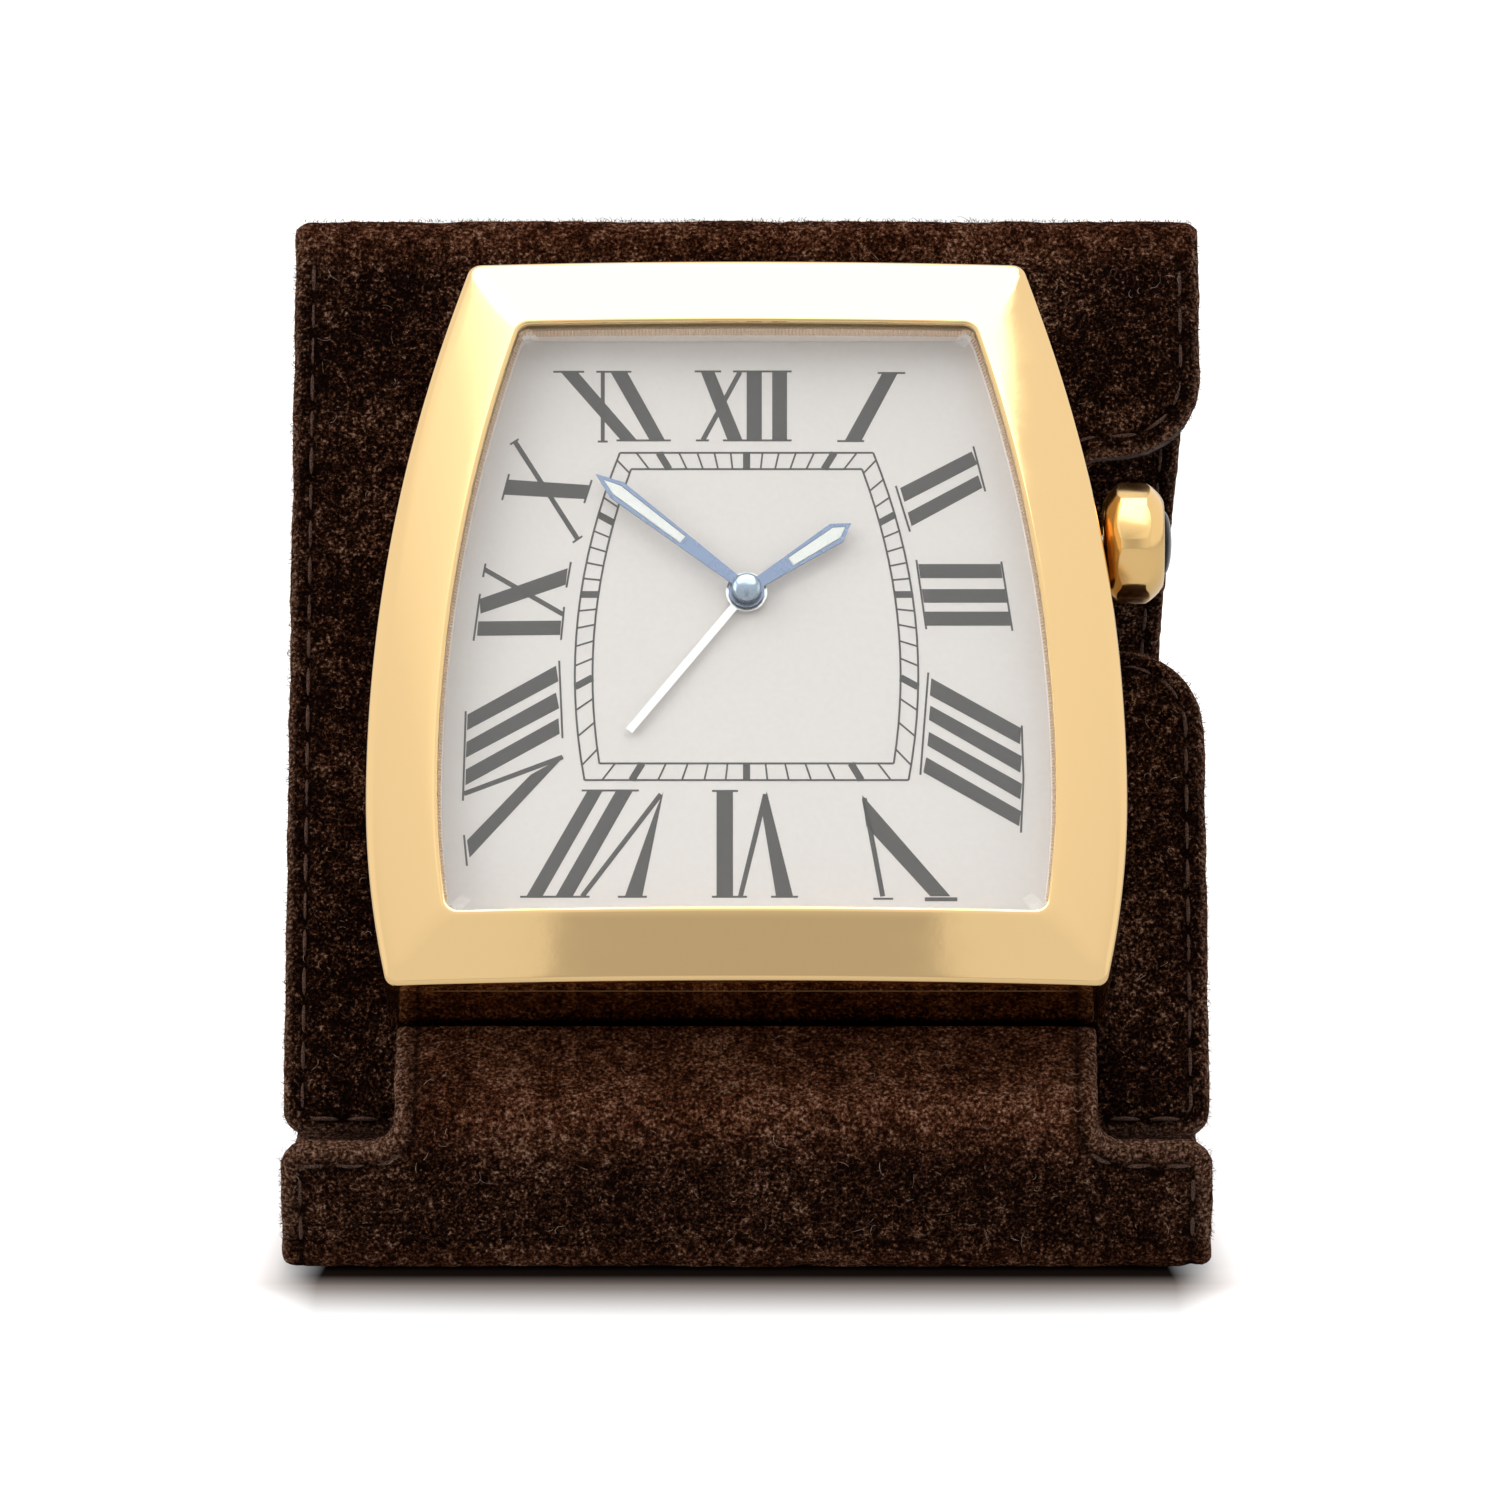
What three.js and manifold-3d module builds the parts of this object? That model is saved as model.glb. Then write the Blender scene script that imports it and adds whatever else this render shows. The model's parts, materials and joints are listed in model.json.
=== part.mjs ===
// Alarm travel clock in a folding suede stand. Millimetres, +Z up, the dial looks towards -Y.
// A barrel-shaped gilt case is fixed on a stiffened suede panel that leans back. The panel has a
// hinged leg behind it, and a folded lip in front of it that runs into a cover lying on the table.
import * as THREE from "three";
import { mergeVertices } from "three/addons/utils/BufferGeometryUtils.js";
import Module from "manifold-3d";

const wasm = await Module();
wasm.setup();

// Overall stand
const panelWidth = 97.3;
const panelHinge = 97;
const leanDeg = 35;
const legSpreadDeg = 19.7;
const lipLength = 16.5;
const lipLeanDeg = 13;
const baseMargin = 1.8;

// Leather boards: suede, stiffener and lining with a glue line between them
const suede = 0.9;
const stiffener = 1.2;
const glue = 0.1;
const board = 2 * suede + stiffener + 2 * glue;
const panelDrop = 3.2;
const cornerCut = 1.8;
const foldGap = 0.3;
const topRoll = 3.3;
const legTaper = 5.5;

// Tab under the clock that joins the panel to the lip
const tabWidth = 73.4;
const tabDrop = 4.25;
const tabReach = 8.27;
const lipShoulder = 13.4;

// Notch in the panel for the crown and a fingertip
const notchFloor = 35;
const notchHalf = 11;
const notchFlare = 9;
const notchRound = 3;
const notchRise = 2.3;

// Case outline: a barrel with straight top and bottom
const caseBottom = 7.6;
const caseTop = 88.2;
const caseHalf = 39.8;
const caseWaist = 29.3;
const upperArc = 170;
const lowerArc = 98;
const caseCorner = 1.5;
const camber = 380;

// Case heights above the panel
const seatGap = 0.3;
const caseRim = 13.8;
const bezelEdge = 17.3;
const bezelRound = 0.45;
const bezelCrest = 19;
const bezelBand = 7.6;
const bezelLip = 0.6;
const crystalThick = 1.5;
const crystalHold = 0.9;
const caseWall = 2.2;
const flangeWidth = 4.2;
const flangeThick = 1;
const backThick = 1.2;
const fit = 0.3;
const dialThick = 0.4;
const dialFace = 13.6;
const rehautWall = 0.9;
const gasketThick = 0.4;

// Hands, from the hub at the dial centre
const handS = 51.55;
const handThick = 0.25;
const alarmLevel = 14.15;
const hourLevel = 14.75;
const minuteLevel = 15.35;
const capLevel = 15.7;
const capHeight = 0.7;
const capRadius = 1.55;
const minuteLength = 20.4;
const minuteWidth = 2.2;
const minuteRoot = 1.1;
const hourLength = 13.3;
const hourWidth = 2.4;
const hourRoot = 1.25;
const alarmLength = 19.8;
const alarmWidth = 0.85;
const minuteDeg = 309;
const hourDeg = 55.7;
const alarmDeg = 218.3;
const lumeGap = 0.08;

// Motion work: one module for every wheel
const gearModule = 0.35;
const cannonTeeth = 10;
const minuteWheelTeeth = 30;
const minutePinionTeeth = 8;
const hourWheelTeeth = 32;
const gearThick = 0.9;
const gearStep = 1.3;
const gearLevel = 9.2;
const trainDeg = -60;
const cannonPipe = 0.75;
const pipeWall = 0.3;
const runGap = 0.1;
const postRadius = 0.6;

// Movement, cell and sounder
const stemSpace = 9.5;
const movementBelow = 22.1;
const movementAbove = 11.95;
const movementFloor = 3.6;
const movementThick = 5;
const ringWidth = 3.4;
const cellRadius = 5.8;
const cellThick = 4.6;
const cellU = -12;
const cellRise = 8;
const contactWidth = 5;
const contactThick = 0.3;
const boardThick = 0.8;
const circuitInset = 3;
const circuitGap = 5.6;
const coilRadius = 1.7;
const coilLength = 16;
const coilU = 9;
const coilRise = 7;
const buzzerRadius = 9;
const buzzerThick = 0.4;
const buzzerRise = 16.1;

// Crown at the right of the case
const crownS = 59.7;
const crownH = 8;
const crownAcross = 12.2;
const crownGap = 0.6;
const crownLength = 6.5;
const crownChamfer = 0.9;
const crownNeck = 3.3;
const stemRadius = 0.9;
const stemReach = 7;
const tubeRadius = 1.9;
const cabochonRadius = 3.4;
const cabochonRise = 1.1;
const cabochonSeat = 0.6;
const yokeThick = 1.5;
const yokeWide = 5;

// Screws
const backScrewHead = 1.6;
const backScrewShank = 0.8;
const backScrewInset = 4.9;
const holdScrewHead = 2.6;
const holdScrewShank = 1.2;
const holdScrewU = 20;
const holdScrewS = 50;
const headThick = 0.55;

// Fineness of curves, and one overrun for all cuts
const roundSides = 24;
const fineSides = 14;
const screwSides = 12;
const over = 2;

const rad = THREE.MathUtils.degToRad;
const half = board / 2;

// Colours and finishes
function finish(color, roughness, metalness) {
  return () => new THREE.MeshStandardMaterial({ color, roughness, metalness });
}
const suedeBrown = finish(0x2e1a11, 0.95, 0);
const foldBrown = finish(0x42291d, 0.95, 0);
const liningBrown = finish(0x23140e, 0.95, 0);
const fibreBoard = finish(0x8a765f, 0.9, 0);
const gilt = finish(0xe3bc81, 0.18, 1);
const giltInner = finish(0xc9a468, 0.4, 1);
const steel = finish(0xb8babd, 0.35, 1);
const brass = finish(0xb99a55, 0.35, 1);
const ivoryDial = finish(0xe7e2de, 0.55, 0);
const mineralGlass = finish(0xf4f6f8, 0.05, 0);
const blued = finish(0x7f9ac2, 0.3, 0.6);
const silver = finish(0xe9e9ea, 0.3, 0.7);
const lumeWhite = finish(0xf4f5f0, 0.8, 0);
const onyx = finish(0x0b0b0d, 0.1, 0);
const blackPlastic = finish(0x1c1c1e, 0.6, 0);
const whitePlastic = finish(0xd9d8d2, 0.6, 0);
const greenBoard = finish(0x2c5b3c, 0.6, 0);
const copper = finish(0xa4602f, 0.4, 1);
const rubber = finish(0x2a2a2a, 0.9, 0);

// Solids from closed geometries, and back
function solid(geometry) {
  const bare = geometry.clone();
  bare.deleteAttribute("normal");
  bare.deleteAttribute("uv");
  const merged = mergeVertices(bare, 1e-4);
  const vertProperties = new Float32Array(merged.attributes.position.array);
  const triVerts = new Uint32Array(merged.index.array);
  return new wasm.Manifold(new wasm.Mesh({ numProp: 3, vertProperties, triVerts }));
}

function geometryOf(manifold) {
  const mesh = manifold.getMesh();
  const geometry = new THREE.BufferGeometry();
  geometry.setAttribute("position", new THREE.BufferAttribute(mesh.vertProperties, 3));
  geometry.setIndex(new THREE.BufferAttribute(mesh.triVerts, 1));
  geometry.computeVertexNormals();
  return geometry;
}

function cut(geometry, ...tools) {
  return geometryOf(tools.reduce((body, tool) => body.subtract(solid(tool)), solid(geometry)));
}

function join(geometry, ...others) {
  return geometryOf(others.reduce((body, other) => body.add(solid(other)), solid(geometry)));
}

function common(geometry, other) {
  return geometryOf(solid(geometry).intersect(solid(other)));
}

// A flat outline, with holes, raised from one height to another
function plate(points, low, high, holes = []) {
  const shape = new THREE.Shape(points.map(([x, y]) => new THREE.Vector2(x, y)));
  for (const hole of holes) {
    shape.holes.push(new THREE.Path(hole.map(([x, y]) => new THREE.Vector2(x, y))));
  }
  const geometry = new THREE.ExtrudeGeometry(shape, { depth: high - low, bevelEnabled: false });
  return geometry.translate(0, 0, low);
}

function circle(x, y, radius, sides = fineSides) {
  const turn = (2 * Math.PI) / sides;
  const at = (i) => [x + radius * Math.cos(i * turn), y + radius * Math.sin(i * turn)];
  return Array.from({ length: sides }, (_, i) => at(i));
}

function rectangle(width, low, high) {
  return [[-width / 2, low], [width / 2, low], [width / 2, high], [-width / 2, high]];
}

// A round bar along X
function barX(radius, from, to, sides = fineSides) {
  return plate(circle(0, 0, radius, sides), from, to).rotateY(Math.PI / 2);
}

function disc(x, y, radius, low, high, sides = fineSides) {
  return plate(circle(x, y, radius, sides), low, high);
}

// Barrel outline drawn in by an inset, always with the same number of points, from the middle of
// the bottom edge, counter-clockwise
const sideSteps = 8;
const lowSteps = 4;
const cornerSteps = 3;
const edgeSteps = 4;

function halfBarrel(inset, corner) {
  const points = [];
  const low = caseBottom + inset;
  const high = caseTop - inset;
  const lowX = caseHalf - lowerArc;
  const highX = caseHalf - upperArc;
  const lowR = lowerArc - inset;
  const highR = upperArc - inset;
  const lowRise = caseWaist - (low + corner);
  const highRise = high - corner - caseWaist;
  const lowC = lowX + Math.sqrt((lowR - corner) ** 2 - lowRise ** 2);
  const highC = highX + Math.sqrt((highR - corner) ** 2 - highRise ** 2);
  const lowTurn = Math.atan2(lowRise, lowC - lowX);
  const highTurn = Math.atan2(highRise, highC - highX);
  for (let i = 0; i < edgeSteps; i += 1) {
    points.push([(lowC * i) / edgeSteps, low]);
  }
  for (let i = 0; i <= cornerSteps; i += 1) {
    const a = -Math.PI / 2 + ((Math.PI / 2 - lowTurn) * i) / cornerSteps;
    points.push([lowC + corner * Math.cos(a), low + corner + corner * Math.sin(a)]);
  }
  for (let i = 1; i <= lowSteps; i += 1) {
    const a = -lowTurn + (lowTurn * i) / lowSteps;
    points.push([lowX + lowR * Math.cos(a), caseWaist + lowR * Math.sin(a)]);
  }
  for (let i = 1; i < sideSteps; i += 1) {
    const a = (highTurn * i) / sideSteps;
    points.push([highX + highR * Math.cos(a), caseWaist + highR * Math.sin(a)]);
  }
  for (let i = 0; i <= cornerSteps; i += 1) {
    const a = highTurn + ((Math.PI / 2 - highTurn) * i) / cornerSteps;
    points.push([highC + corner * Math.cos(a), high - corner + corner * Math.sin(a)]);
  }
  for (let i = 1; i < edgeSteps; i += 1) {
    points.push([(highC * (edgeSteps - i)) / edgeSteps, high]);
  }
  points.push([0, high]);
  return points;
}

function barrel(inset = 0, corner = caseCorner) {
  const right = halfBarrel(inset, corner);
  const left = right.slice(1, -1).map(([x, y]) => [-x, y]);
  return [...right, ...left.reverse()];
}

function barrelHalfAt(y, inset) {
  const x = caseHalf - (y > caseWaist ? upperArc : lowerArc);
  const r = caseHalf - x - inset;
  return x + Math.sqrt(r * r - (y - caseWaist) ** 2);
}

function drop(x) {
  return (x * x) / (2 * camber);
}

// A closed frame that follows the barrel: each profile point is [inset, height, cambered]
function frame(profile) {
  const loops = profile.map(([inset]) => barrel(inset));
  const count = loops[0].length;
  const rows = profile.length;
  const points = [];
  const faces = [];
  profile.forEach(([, height, cambered], j) => {
    for (const [x, y] of loops[j]) {
      points.push(x, y, height - (cambered ? drop(x) : 0));
    }
  });
  for (let j = 0; j < rows; j += 1) {
    const next = (j + 1) % rows;
    for (let i = 0; i < count; i += 1) {
      const k = (i + 1) % count;
      faces.push(j * count + i, j * count + k, next * count + k);
      faces.push(j * count + i, next * count + k, next * count + i);
    }
  }
  const geometry = new THREE.BufferGeometry();
  geometry.setAttribute("position", new THREE.BufferAttribute(new Float32Array(points), 3));
  geometry.setIndex(faces);
  geometry.computeVertexNormals();
  return geometry;
}

// A cambered sheet across the whole case, between two heights, trimmed to a barrel
function camberedSheet(inset, low, high) {
  const steps = 2 * sideSteps;
  const reach = caseHalf + over;
  const xs = Array.from({ length: steps + 1 }, (_, i) => reach - (2 * reach * i) / steps);
  const upper = xs.map((x) => [x, high - drop(x)]);
  const lower = xs.map((x) => [x, low - drop(x)]).reverse();
  const slab = plate([...upper, ...lower], -caseTop - over, over - caseBottom);
  return common(plate(barrel(inset), low - 2 * over, high + over), slab.rotateX(Math.PI / 2));
}

function piece(name, geometry, material) {
  const mesh = new THREE.Mesh(geometry, material());
  mesh.name = name;
  return mesh;
}

// The three layers of a board, from its outer face inwards: outline(x, y) at local z heights
function layers(name, outline, top, holes, outerMaterial, innerMaterial) {
  const outerLow = top - suede;
  const coreHigh = outerLow - glue;
  const coreLow = coreHigh - stiffener;
  const innerHigh = coreLow - glue;
  return [
    piece(name + "_suede", plate(outline, outerLow, top, holes), outerMaterial),
    piece(name + "_stiffener", plate(outline, coreLow, coreHigh, holes), fibreBoard),
    piece(name + "_lining", plate(outline, innerHigh - suede, innerHigh, holes), innerMaterial),
  ];
}

function quarter(cx, cy, radius, from, to, steps = cornerSteps) {
  return Array.from({ length: steps + 1 }, (_, i) => {
    const a = rad(from + ((to - from) * i) / steps);
    return [cx + radius * Math.cos(a), cy + radius * Math.sin(a)];
  });
}

// Holder panel, in its own frame: x across, y up the panel from its lower edge, z out of its face
const panelTop = panelHinge - topRoll - foldGap;

function panelOutline() {
  const x = panelWidth / 2;
  const low = crownS + notchRise - notchHalf;
  const high = crownS + notchRise + notchHalf;
  const lipIn = x - notchFlare;
  return [
    [-x + cornerCut, -panelDrop],
    [x - cornerCut, -panelDrop],
    [x, cornerCut - panelDrop],
    ...quarter(lipIn, low - notchFlare, notchFlare, 0, 90),
    ...quarter(notchFloor + notchRound, low + notchRound, notchRound, 270, 180),
    ...quarter(notchFloor + notchRound, high - notchRound, notchRound, 180, 90),
    ...quarter(lipIn, high + notchFlare, notchFlare, 270, 360),
    [x, panelTop],
    [-x, panelTop],
    [-x, cornerCut - panelDrop],
  ];
}

const holder = new THREE.Group();
const holdHoles = [-1, 1].map((side) => circle(side * holdScrewU, holdScrewS, holdScrewShank + fit));
const headHoles = [-1, 1].map((side) => circle(side * holdScrewU, holdScrewS, holdScrewHead + fit));
const panelLayers = layers("panel", panelOutline(), 0, holdHoles, suedeBrown, liningBrown);
const liningTop = -suede - 2 * glue - stiffener;
panelLayers[2].geometry = plate(panelOutline(), liningTop - suede, liningTop, headHoles);
holder.add(...panelLayers);

// Rolled fold along the top of the panel, round the axis that the leg turns on
const hingeDepth = board + foldGap;
const roll = barX(topRoll, -panelWidth / 2, panelWidth / 2, roundSides);
const topFold = piece("top_fold_roll", roll, foldBrown);
topFold.position.set(0, panelHinge, -hingeDepth);
holder.add(topFold);

// Suede tab that springs from the panel just under the clock
const tabAngle = Math.atan2(tabReach - half - seatGap, caseBottom - fit + tabDrop);
const lipEnd = half + foldGap;
function tabPoint(along, across) {
  const y = -tabDrop + along * Math.cos(tabAngle) + across * Math.sin(tabAngle);
  const z = tabReach - along * Math.sin(tabAngle) + across * Math.cos(tabAngle);
  return [y, z];
}

function tabSection() {
  const wall = caseBottom - fit;
  const upper = tabPoint(lipEnd, half);
  const lower = tabPoint(lipEnd, -half);
  const slope = Math.tan(tabAngle);
  const wallHigh = upper[1] - (wall - upper[0]) * slope;
  const footY = lower[0] + (lower[1] - seatGap) / slope;
  return [[footY, seatGap], [wall, seatGap], [wall, wallHigh], upper, lower];
}

function alongX(section, width) {
  const bar = plate(section, -width / 2, width / 2);
  return bar.rotateY(Math.PI / 2).rotateX(Math.PI / 2);
}

holder.add(piece("cradle_tab", alongX(tabSection(), tabWidth), suedeBrown));

// Screws that hold the clock to the panel, from behind
const backHigh = seatGap + backThick;
function screwSolid(head, shank, headLow, headHigh, tip) {
  const middle = (headLow + headHigh) / 2;
  return join(disc(0, 0, head, headLow, headHigh, screwSides), disc(0, 0, shank, middle, tip, screwSides));
}

[-1, 1].forEach((side, i) => {
  const headLow = liningTop - suede + (suede - headThick) / 2;
  const body = screwSolid(holdScrewHead, holdScrewShank, headLow, headLow + headThick, backHigh);
  const screw = piece("panel_screw_" + (i + 1), body, steel);
  screw.position.set(side * holdScrewU, holdScrewS, 0);
  holder.add(screw);
});

// Places along the stem, from the case wall inwards
const wallAtCrown = barrelHalfAt(crownS, 0);
const crownStart = wallAtCrown + crownGap;
const movementHalf = wallAtCrown - caseWall - fit - ringWidth - stemSpace;
const movementWidth = 2 * movementHalf;
const stemEnd = movementHalf - stemReach;
const yokePlace = movementHalf + (stemSpace - yokeThick) / 2;

// Case: wall with an inner flange, and the back plate that closes it
const backTop = backHigh + fit;
const flangeIn = caseWall + flangeWidth;
const wall = frame([
  [0, seatGap, 0],
  [0, caseRim, 0],
  [caseWall, caseRim, 0],
  [caseWall, backTop + flangeThick, 0],
  [flangeIn, backTop + flangeThick, 0],
  [flangeIn, backTop, 0],
  [caseWall, backTop, 0],
  [caseWall, seatGap, 0],
]);
const stemHole = barX(tubeRadius + fit, stemEnd, caseHalf + over);
stemHole.translate(0, crownS, crownH);

const backScrewPlaces = [];
for (const y of [caseBottom + backScrewInset, caseTop - backScrewInset]) {
  for (const side of [-1, 1]) {
    backScrewPlaces.push([side * (barrelHalfAt(y, backScrewInset)), y]);
  }
}
const flangeHoles = backScrewPlaces.map(([x, y]) =>
  disc(x, y, backScrewShank + fit, backTop - fit, backTop + flangeThick + fit));
holder.add(piece("case_wall", cut(wall, stemHole, ...flangeHoles), gilt));

const backHoles = backScrewPlaces.map(([x, y]) => circle(x, y, backScrewShank + fit));
const mountHoles = [-1, 1].map((side) => circle(side * holdScrewU, holdScrewS, holdScrewShank + fit));
const backPlate = plate(barrel(caseWall + fit), seatGap, backHigh, [...backHoles, ...mountHoles]);
const sinks = backScrewPlaces.map(([x, y]) =>
  disc(x, y, backScrewHead + fit, seatGap - over, seatGap + headThick + fit));
holder.add(piece("case_back", cut(backPlate, ...sinks), steel));
backScrewPlaces.forEach(([x, y], i) => {
  const tip = backTop + flangeThick;
  const body = screwSolid(backScrewHead, backScrewShank, seatGap, seatGap + headThick, tip);
  const screw = piece("back_screw_" + (i + 1), body, steel);
  screw.position.set(x, y, 0);
  holder.add(screw);
});

// Bezel: cambered across, its face falling outwards, with a rebate for the crystal under its lip
const lipLow = bezelCrest - bezelLip - glue;
const crystalHigh = lipLow - glue;
const crystalLow = crystalHigh - crystalThick;
const rebate = bezelBand - crystalHold;
const bezelBottom = caseRim + glue;
const roundedShare = 0.35;
const crownedShare = 0.45;
const bezelShape = [
  [0, bezelBottom, 0],
  [0, bezelEdge - bezelRound, 1],
  [bezelRound * roundedShare, bezelEdge, 1],
  [bezelRound * 2, bezelEdge + bezelRound, 1],
  [bezelBand * crownedShare, bezelCrest - bezelRound, 1],
  [bezelBand - bezelRound, bezelCrest, 1],
  [bezelBand, bezelCrest - bezelRound / 2, 1],
  [bezelBand, lipLow, 1],
  [rebate, lipLow, 1],
  [rebate, bezelBottom, 0],
];
holder.add(piece("bezel", frame(bezelShape), gilt));
holder.add(piece("crystal", camberedSheet(rebate + glue, crystalLow, crystalHigh), mineralGlass));

// Inside the opening: gasket under the glass, then the inner ring down to the dial
const gasketHigh = crystalLow - glue;
const gasketShape = [
  [rebate + glue, gasketHigh - gasketThick, 1],
  [rebate + glue, gasketHigh, 1],
  [bezelBand, gasketHigh, 1],
  [bezelBand, gasketHigh - gasketThick, 1],
];
holder.add(piece("crystal_gasket", frame(gasketShape), rubber));
const rehautShape = [
  [bezelBand - rehautWall, dialFace + glue, 0],
  [bezelBand - rehautWall, gasketHigh - gasketThick - glue, 1],
  [bezelBand, gasketHigh - gasketThick - glue, 1],
  [bezelBand + bezelRound, dialFace + glue, 0],
];
holder.add(piece("inner_ring", frame(rehautShape), giltInner));

// Dial on the plastic ring that fills the case round the movement
const alarmPipe = cannonPipe + 2 * (runGap + pipeWall);
const dialHole = circle(0, handS, alarmPipe + pipeWall, roundSides);
const dial = plate(barrel(rebate + glue), dialFace - dialThick, dialFace, [dialHole]);
holder.add(piece("dial", dial, ivoryDial));

const ringLow = backTop + flangeThick + fit;
const ringOuter = caseWall + fit;
const ringShape = [
  [ringOuter, ringLow, 0],
  [ringOuter, dialFace - dialThick - fit, 0],
  [ringOuter + ringWidth, dialFace - dialThick - fit, 0],
  [ringOuter + ringWidth, ringLow, 0],
];
const ring = cut(frame(ringShape), stemHole);
holder.add(piece("movement_ring", ring, whitePlastic));

// Movement housing with its post, cell pocket, coil pocket and stem bore
const movementTop = movementFloor + movementThick;
const movementLow = caseBottom + movementBelow;
const movementHigh = caseTop - movementAbove;
const cellS = movementLow + cellRise;
const coilS = movementLow + coilRise;
const cellLow = movementFloor - fit;
const trainCentre = (gearModule * (cannonTeeth + minuteWheelTeeth)) / 2;
const wheelX = trainCentre * Math.cos(rad(trainDeg));
const wheelY = handS + trainCentre * Math.sin(rad(trainDeg));
const outerLevel = gearLevel + gearStep + gearThick;
const movementBox = rectangle(movementWidth, movementLow, movementHigh);
const centrePost = cannonPipe - pipeWall - runGap;
const housing = join(
  plate(movementBox, movementFloor, movementTop),
  disc(wheelX, wheelY, postRadius, movementFloor + over, outerLevel),
  disc(0, handS, centrePost, movementFloor + over, outerLevel),
);
const cellPocket = disc(cellU, cellS, cellRadius + fit, movementFloor - over, cellLow + cellThick + fit);
const coilHigh = movementFloor + 2 * coilRadius + fit;
const coilBox = rectangle(coilLength + 2 * fit, coilS - coilRadius - fit, coilS + coilRadius + fit);
const coilPocket = plate(coilBox, movementFloor - over, coilHigh + fit).translate(coilU, 0, 0);
const stemBore = barX(stemRadius + fit, stemEnd - fit, movementWidth);
stemBore.translate(0, crownS, crownH);
const stemSlot = plate(rectangle(over, crownS - stemRadius - fit, crownS + stemRadius + fit), crownH, crownH + over);
stemSlot.scale((stemReach + 2 * fit) / over, 1, 1);
stemSlot.translate(movementHalf - stemReach / 2, 0, 0);
const housingBody = cut(housing, cellPocket, coilPocket, stemBore, stemSlot);
holder.add(piece("movement_housing", housingBody, blackPlastic));

const cell = disc(cellU, cellS, cellRadius, cellLow, cellLow + cellThick, roundSides);
holder.add(piece("button_cell", cell, steel));

const contactHigh = cellLow - fit;
const contactShape = rectangle(contactWidth, cellS - cellRadius, cellS + cellRadius + over);
const contact = plate(contactShape, contactHigh - contactThick, contactHigh).translate(cellU, 0, 0);
holder.add(piece("cell_contact", contact, brass));

const coil = barX(coilRadius, -coilLength / 2, coilLength / 2);
coil.translate(coilU, coilS, movementFloor + coilRadius);
holder.add(piece("motor_coil", coil, copper));

const circuitHigh = movementFloor - fit / 2;
const circuitLow = cellS + cellRadius + over + circuitGap;
const circuitShape = rectangle(movementWidth - 2 * circuitInset, circuitLow, movementHigh - fit);
const circuit = plate(circuitShape, circuitHigh - boardThick, circuitHigh);
holder.add(piece("circuit_board", circuit, greenBoard));

const buzzerLow = backHigh + fit;
const buzzerS = caseBottom + buzzerRise;
const buzzer = disc(0, buzzerS, buzzerRadius, buzzerLow, buzzerLow + buzzerThick, roundSides);
holder.add(piece("buzzer_disc", buzzer, brass));

// Wheels with trapezoid teeth, slim enough to run with backlash
const toothHighShare = 0.8;
const toothLowShare = 1.2;
const toothTipShare = 0.16;
const toothRootShare = 0.5;

function wheelOutline(teeth, turnDeg) {
  const pitch = (gearModule * teeth) / 2;
  const step = (2 * Math.PI) / teeth;
  const high = pitch + gearModule * toothHighShare;
  const low = pitch - gearModule * toothLowShare;
  const points = [];
  for (let i = 0; i < teeth; i += 1) {
    const a = rad(turnDeg) + i * step;
    for (const [r, share] of [[low, -toothRootShare], [high, -toothTipShare], [high, toothTipShare], [low, toothRootShare]]) {
      const b = a + (share * step) / 2;
      points.push([r * Math.cos(b), r * Math.sin(b)]);
    }
  }
  return points;
}

function wheel(teeth, turnDeg, low, high, bore) {
  return plate(wheelOutline(teeth, turnDeg), low, high, [circle(0, 0, bore)]);
}

function pipe(outer, bore, low, high) {
  return plate(circle(0, 0, outer), low, high, [circle(0, 0, bore)]);
}

// Cannon pinion and its pipe, which carry the minute hand
const arbor = new THREE.Group();
arbor.position.set(0, handS, 0);
const cannonBore = cannonPipe - pipeWall;
const cannonTop = minuteLevel + handThick;
const cannon = join(
  wheel(cannonTeeth, trainDeg, gearLevel, gearLevel + gearThick, cannonBore),
  pipe(cannonPipe, cannonBore, gearLevel, outerLevel + runGap),
  disc(0, 0, cannonPipe, outerLevel + runGap, cannonTop),
);
arbor.add(piece("cannon_pinion", cannon, brass));

// Minute wheel and its pinion on the post beside the centre
const minuteTurn = trainDeg + 180 + 180 / minuteWheelTeeth;
const wheelBore = postRadius + runGap;
const minuteWheelBody = join(
  wheel(minuteWheelTeeth, minuteTurn, gearLevel, gearLevel + gearThick, wheelBore),
  wheel(minutePinionTeeth, trainDeg + 180, gearLevel + gearThick / 2, outerLevel, wheelBore),
);
const minuteWheel = piece("minute_wheel", minuteWheelBody, brass);
minuteWheel.position.set(wheelX, wheelY, 0);
holder.add(minuteWheel);

// Hour wheel over the cannon pinion, and the alarm wheel over that
const hourBore = cannonPipe + runGap;
const hourPipe = hourBore + pipeWall;
const hourLow = gearLevel + gearStep;
const hourWheelBody = join(
  wheel(hourWheelTeeth, trainDeg + 180 / hourWheelTeeth, hourLow, outerLevel, hourBore),
  pipe(hourPipe, hourBore, hourLow, hourLevel + handThick),
);
arbor.add(piece("hour_wheel", hourWheelBody, brass));

const alarmBore = hourPipe + runGap;
const alarmLow = outerLevel + fit;
const alarmWheelBody = join(
  wheel(hourWheelTeeth, 0, alarmLow, alarmLow + gearThick / 2, alarmBore),
  pipe(alarmPipe, alarmBore, alarmLow, alarmLevel + handThick),
);
arbor.add(piece("alarm_wheel", alarmWheelBody, brass));

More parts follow.
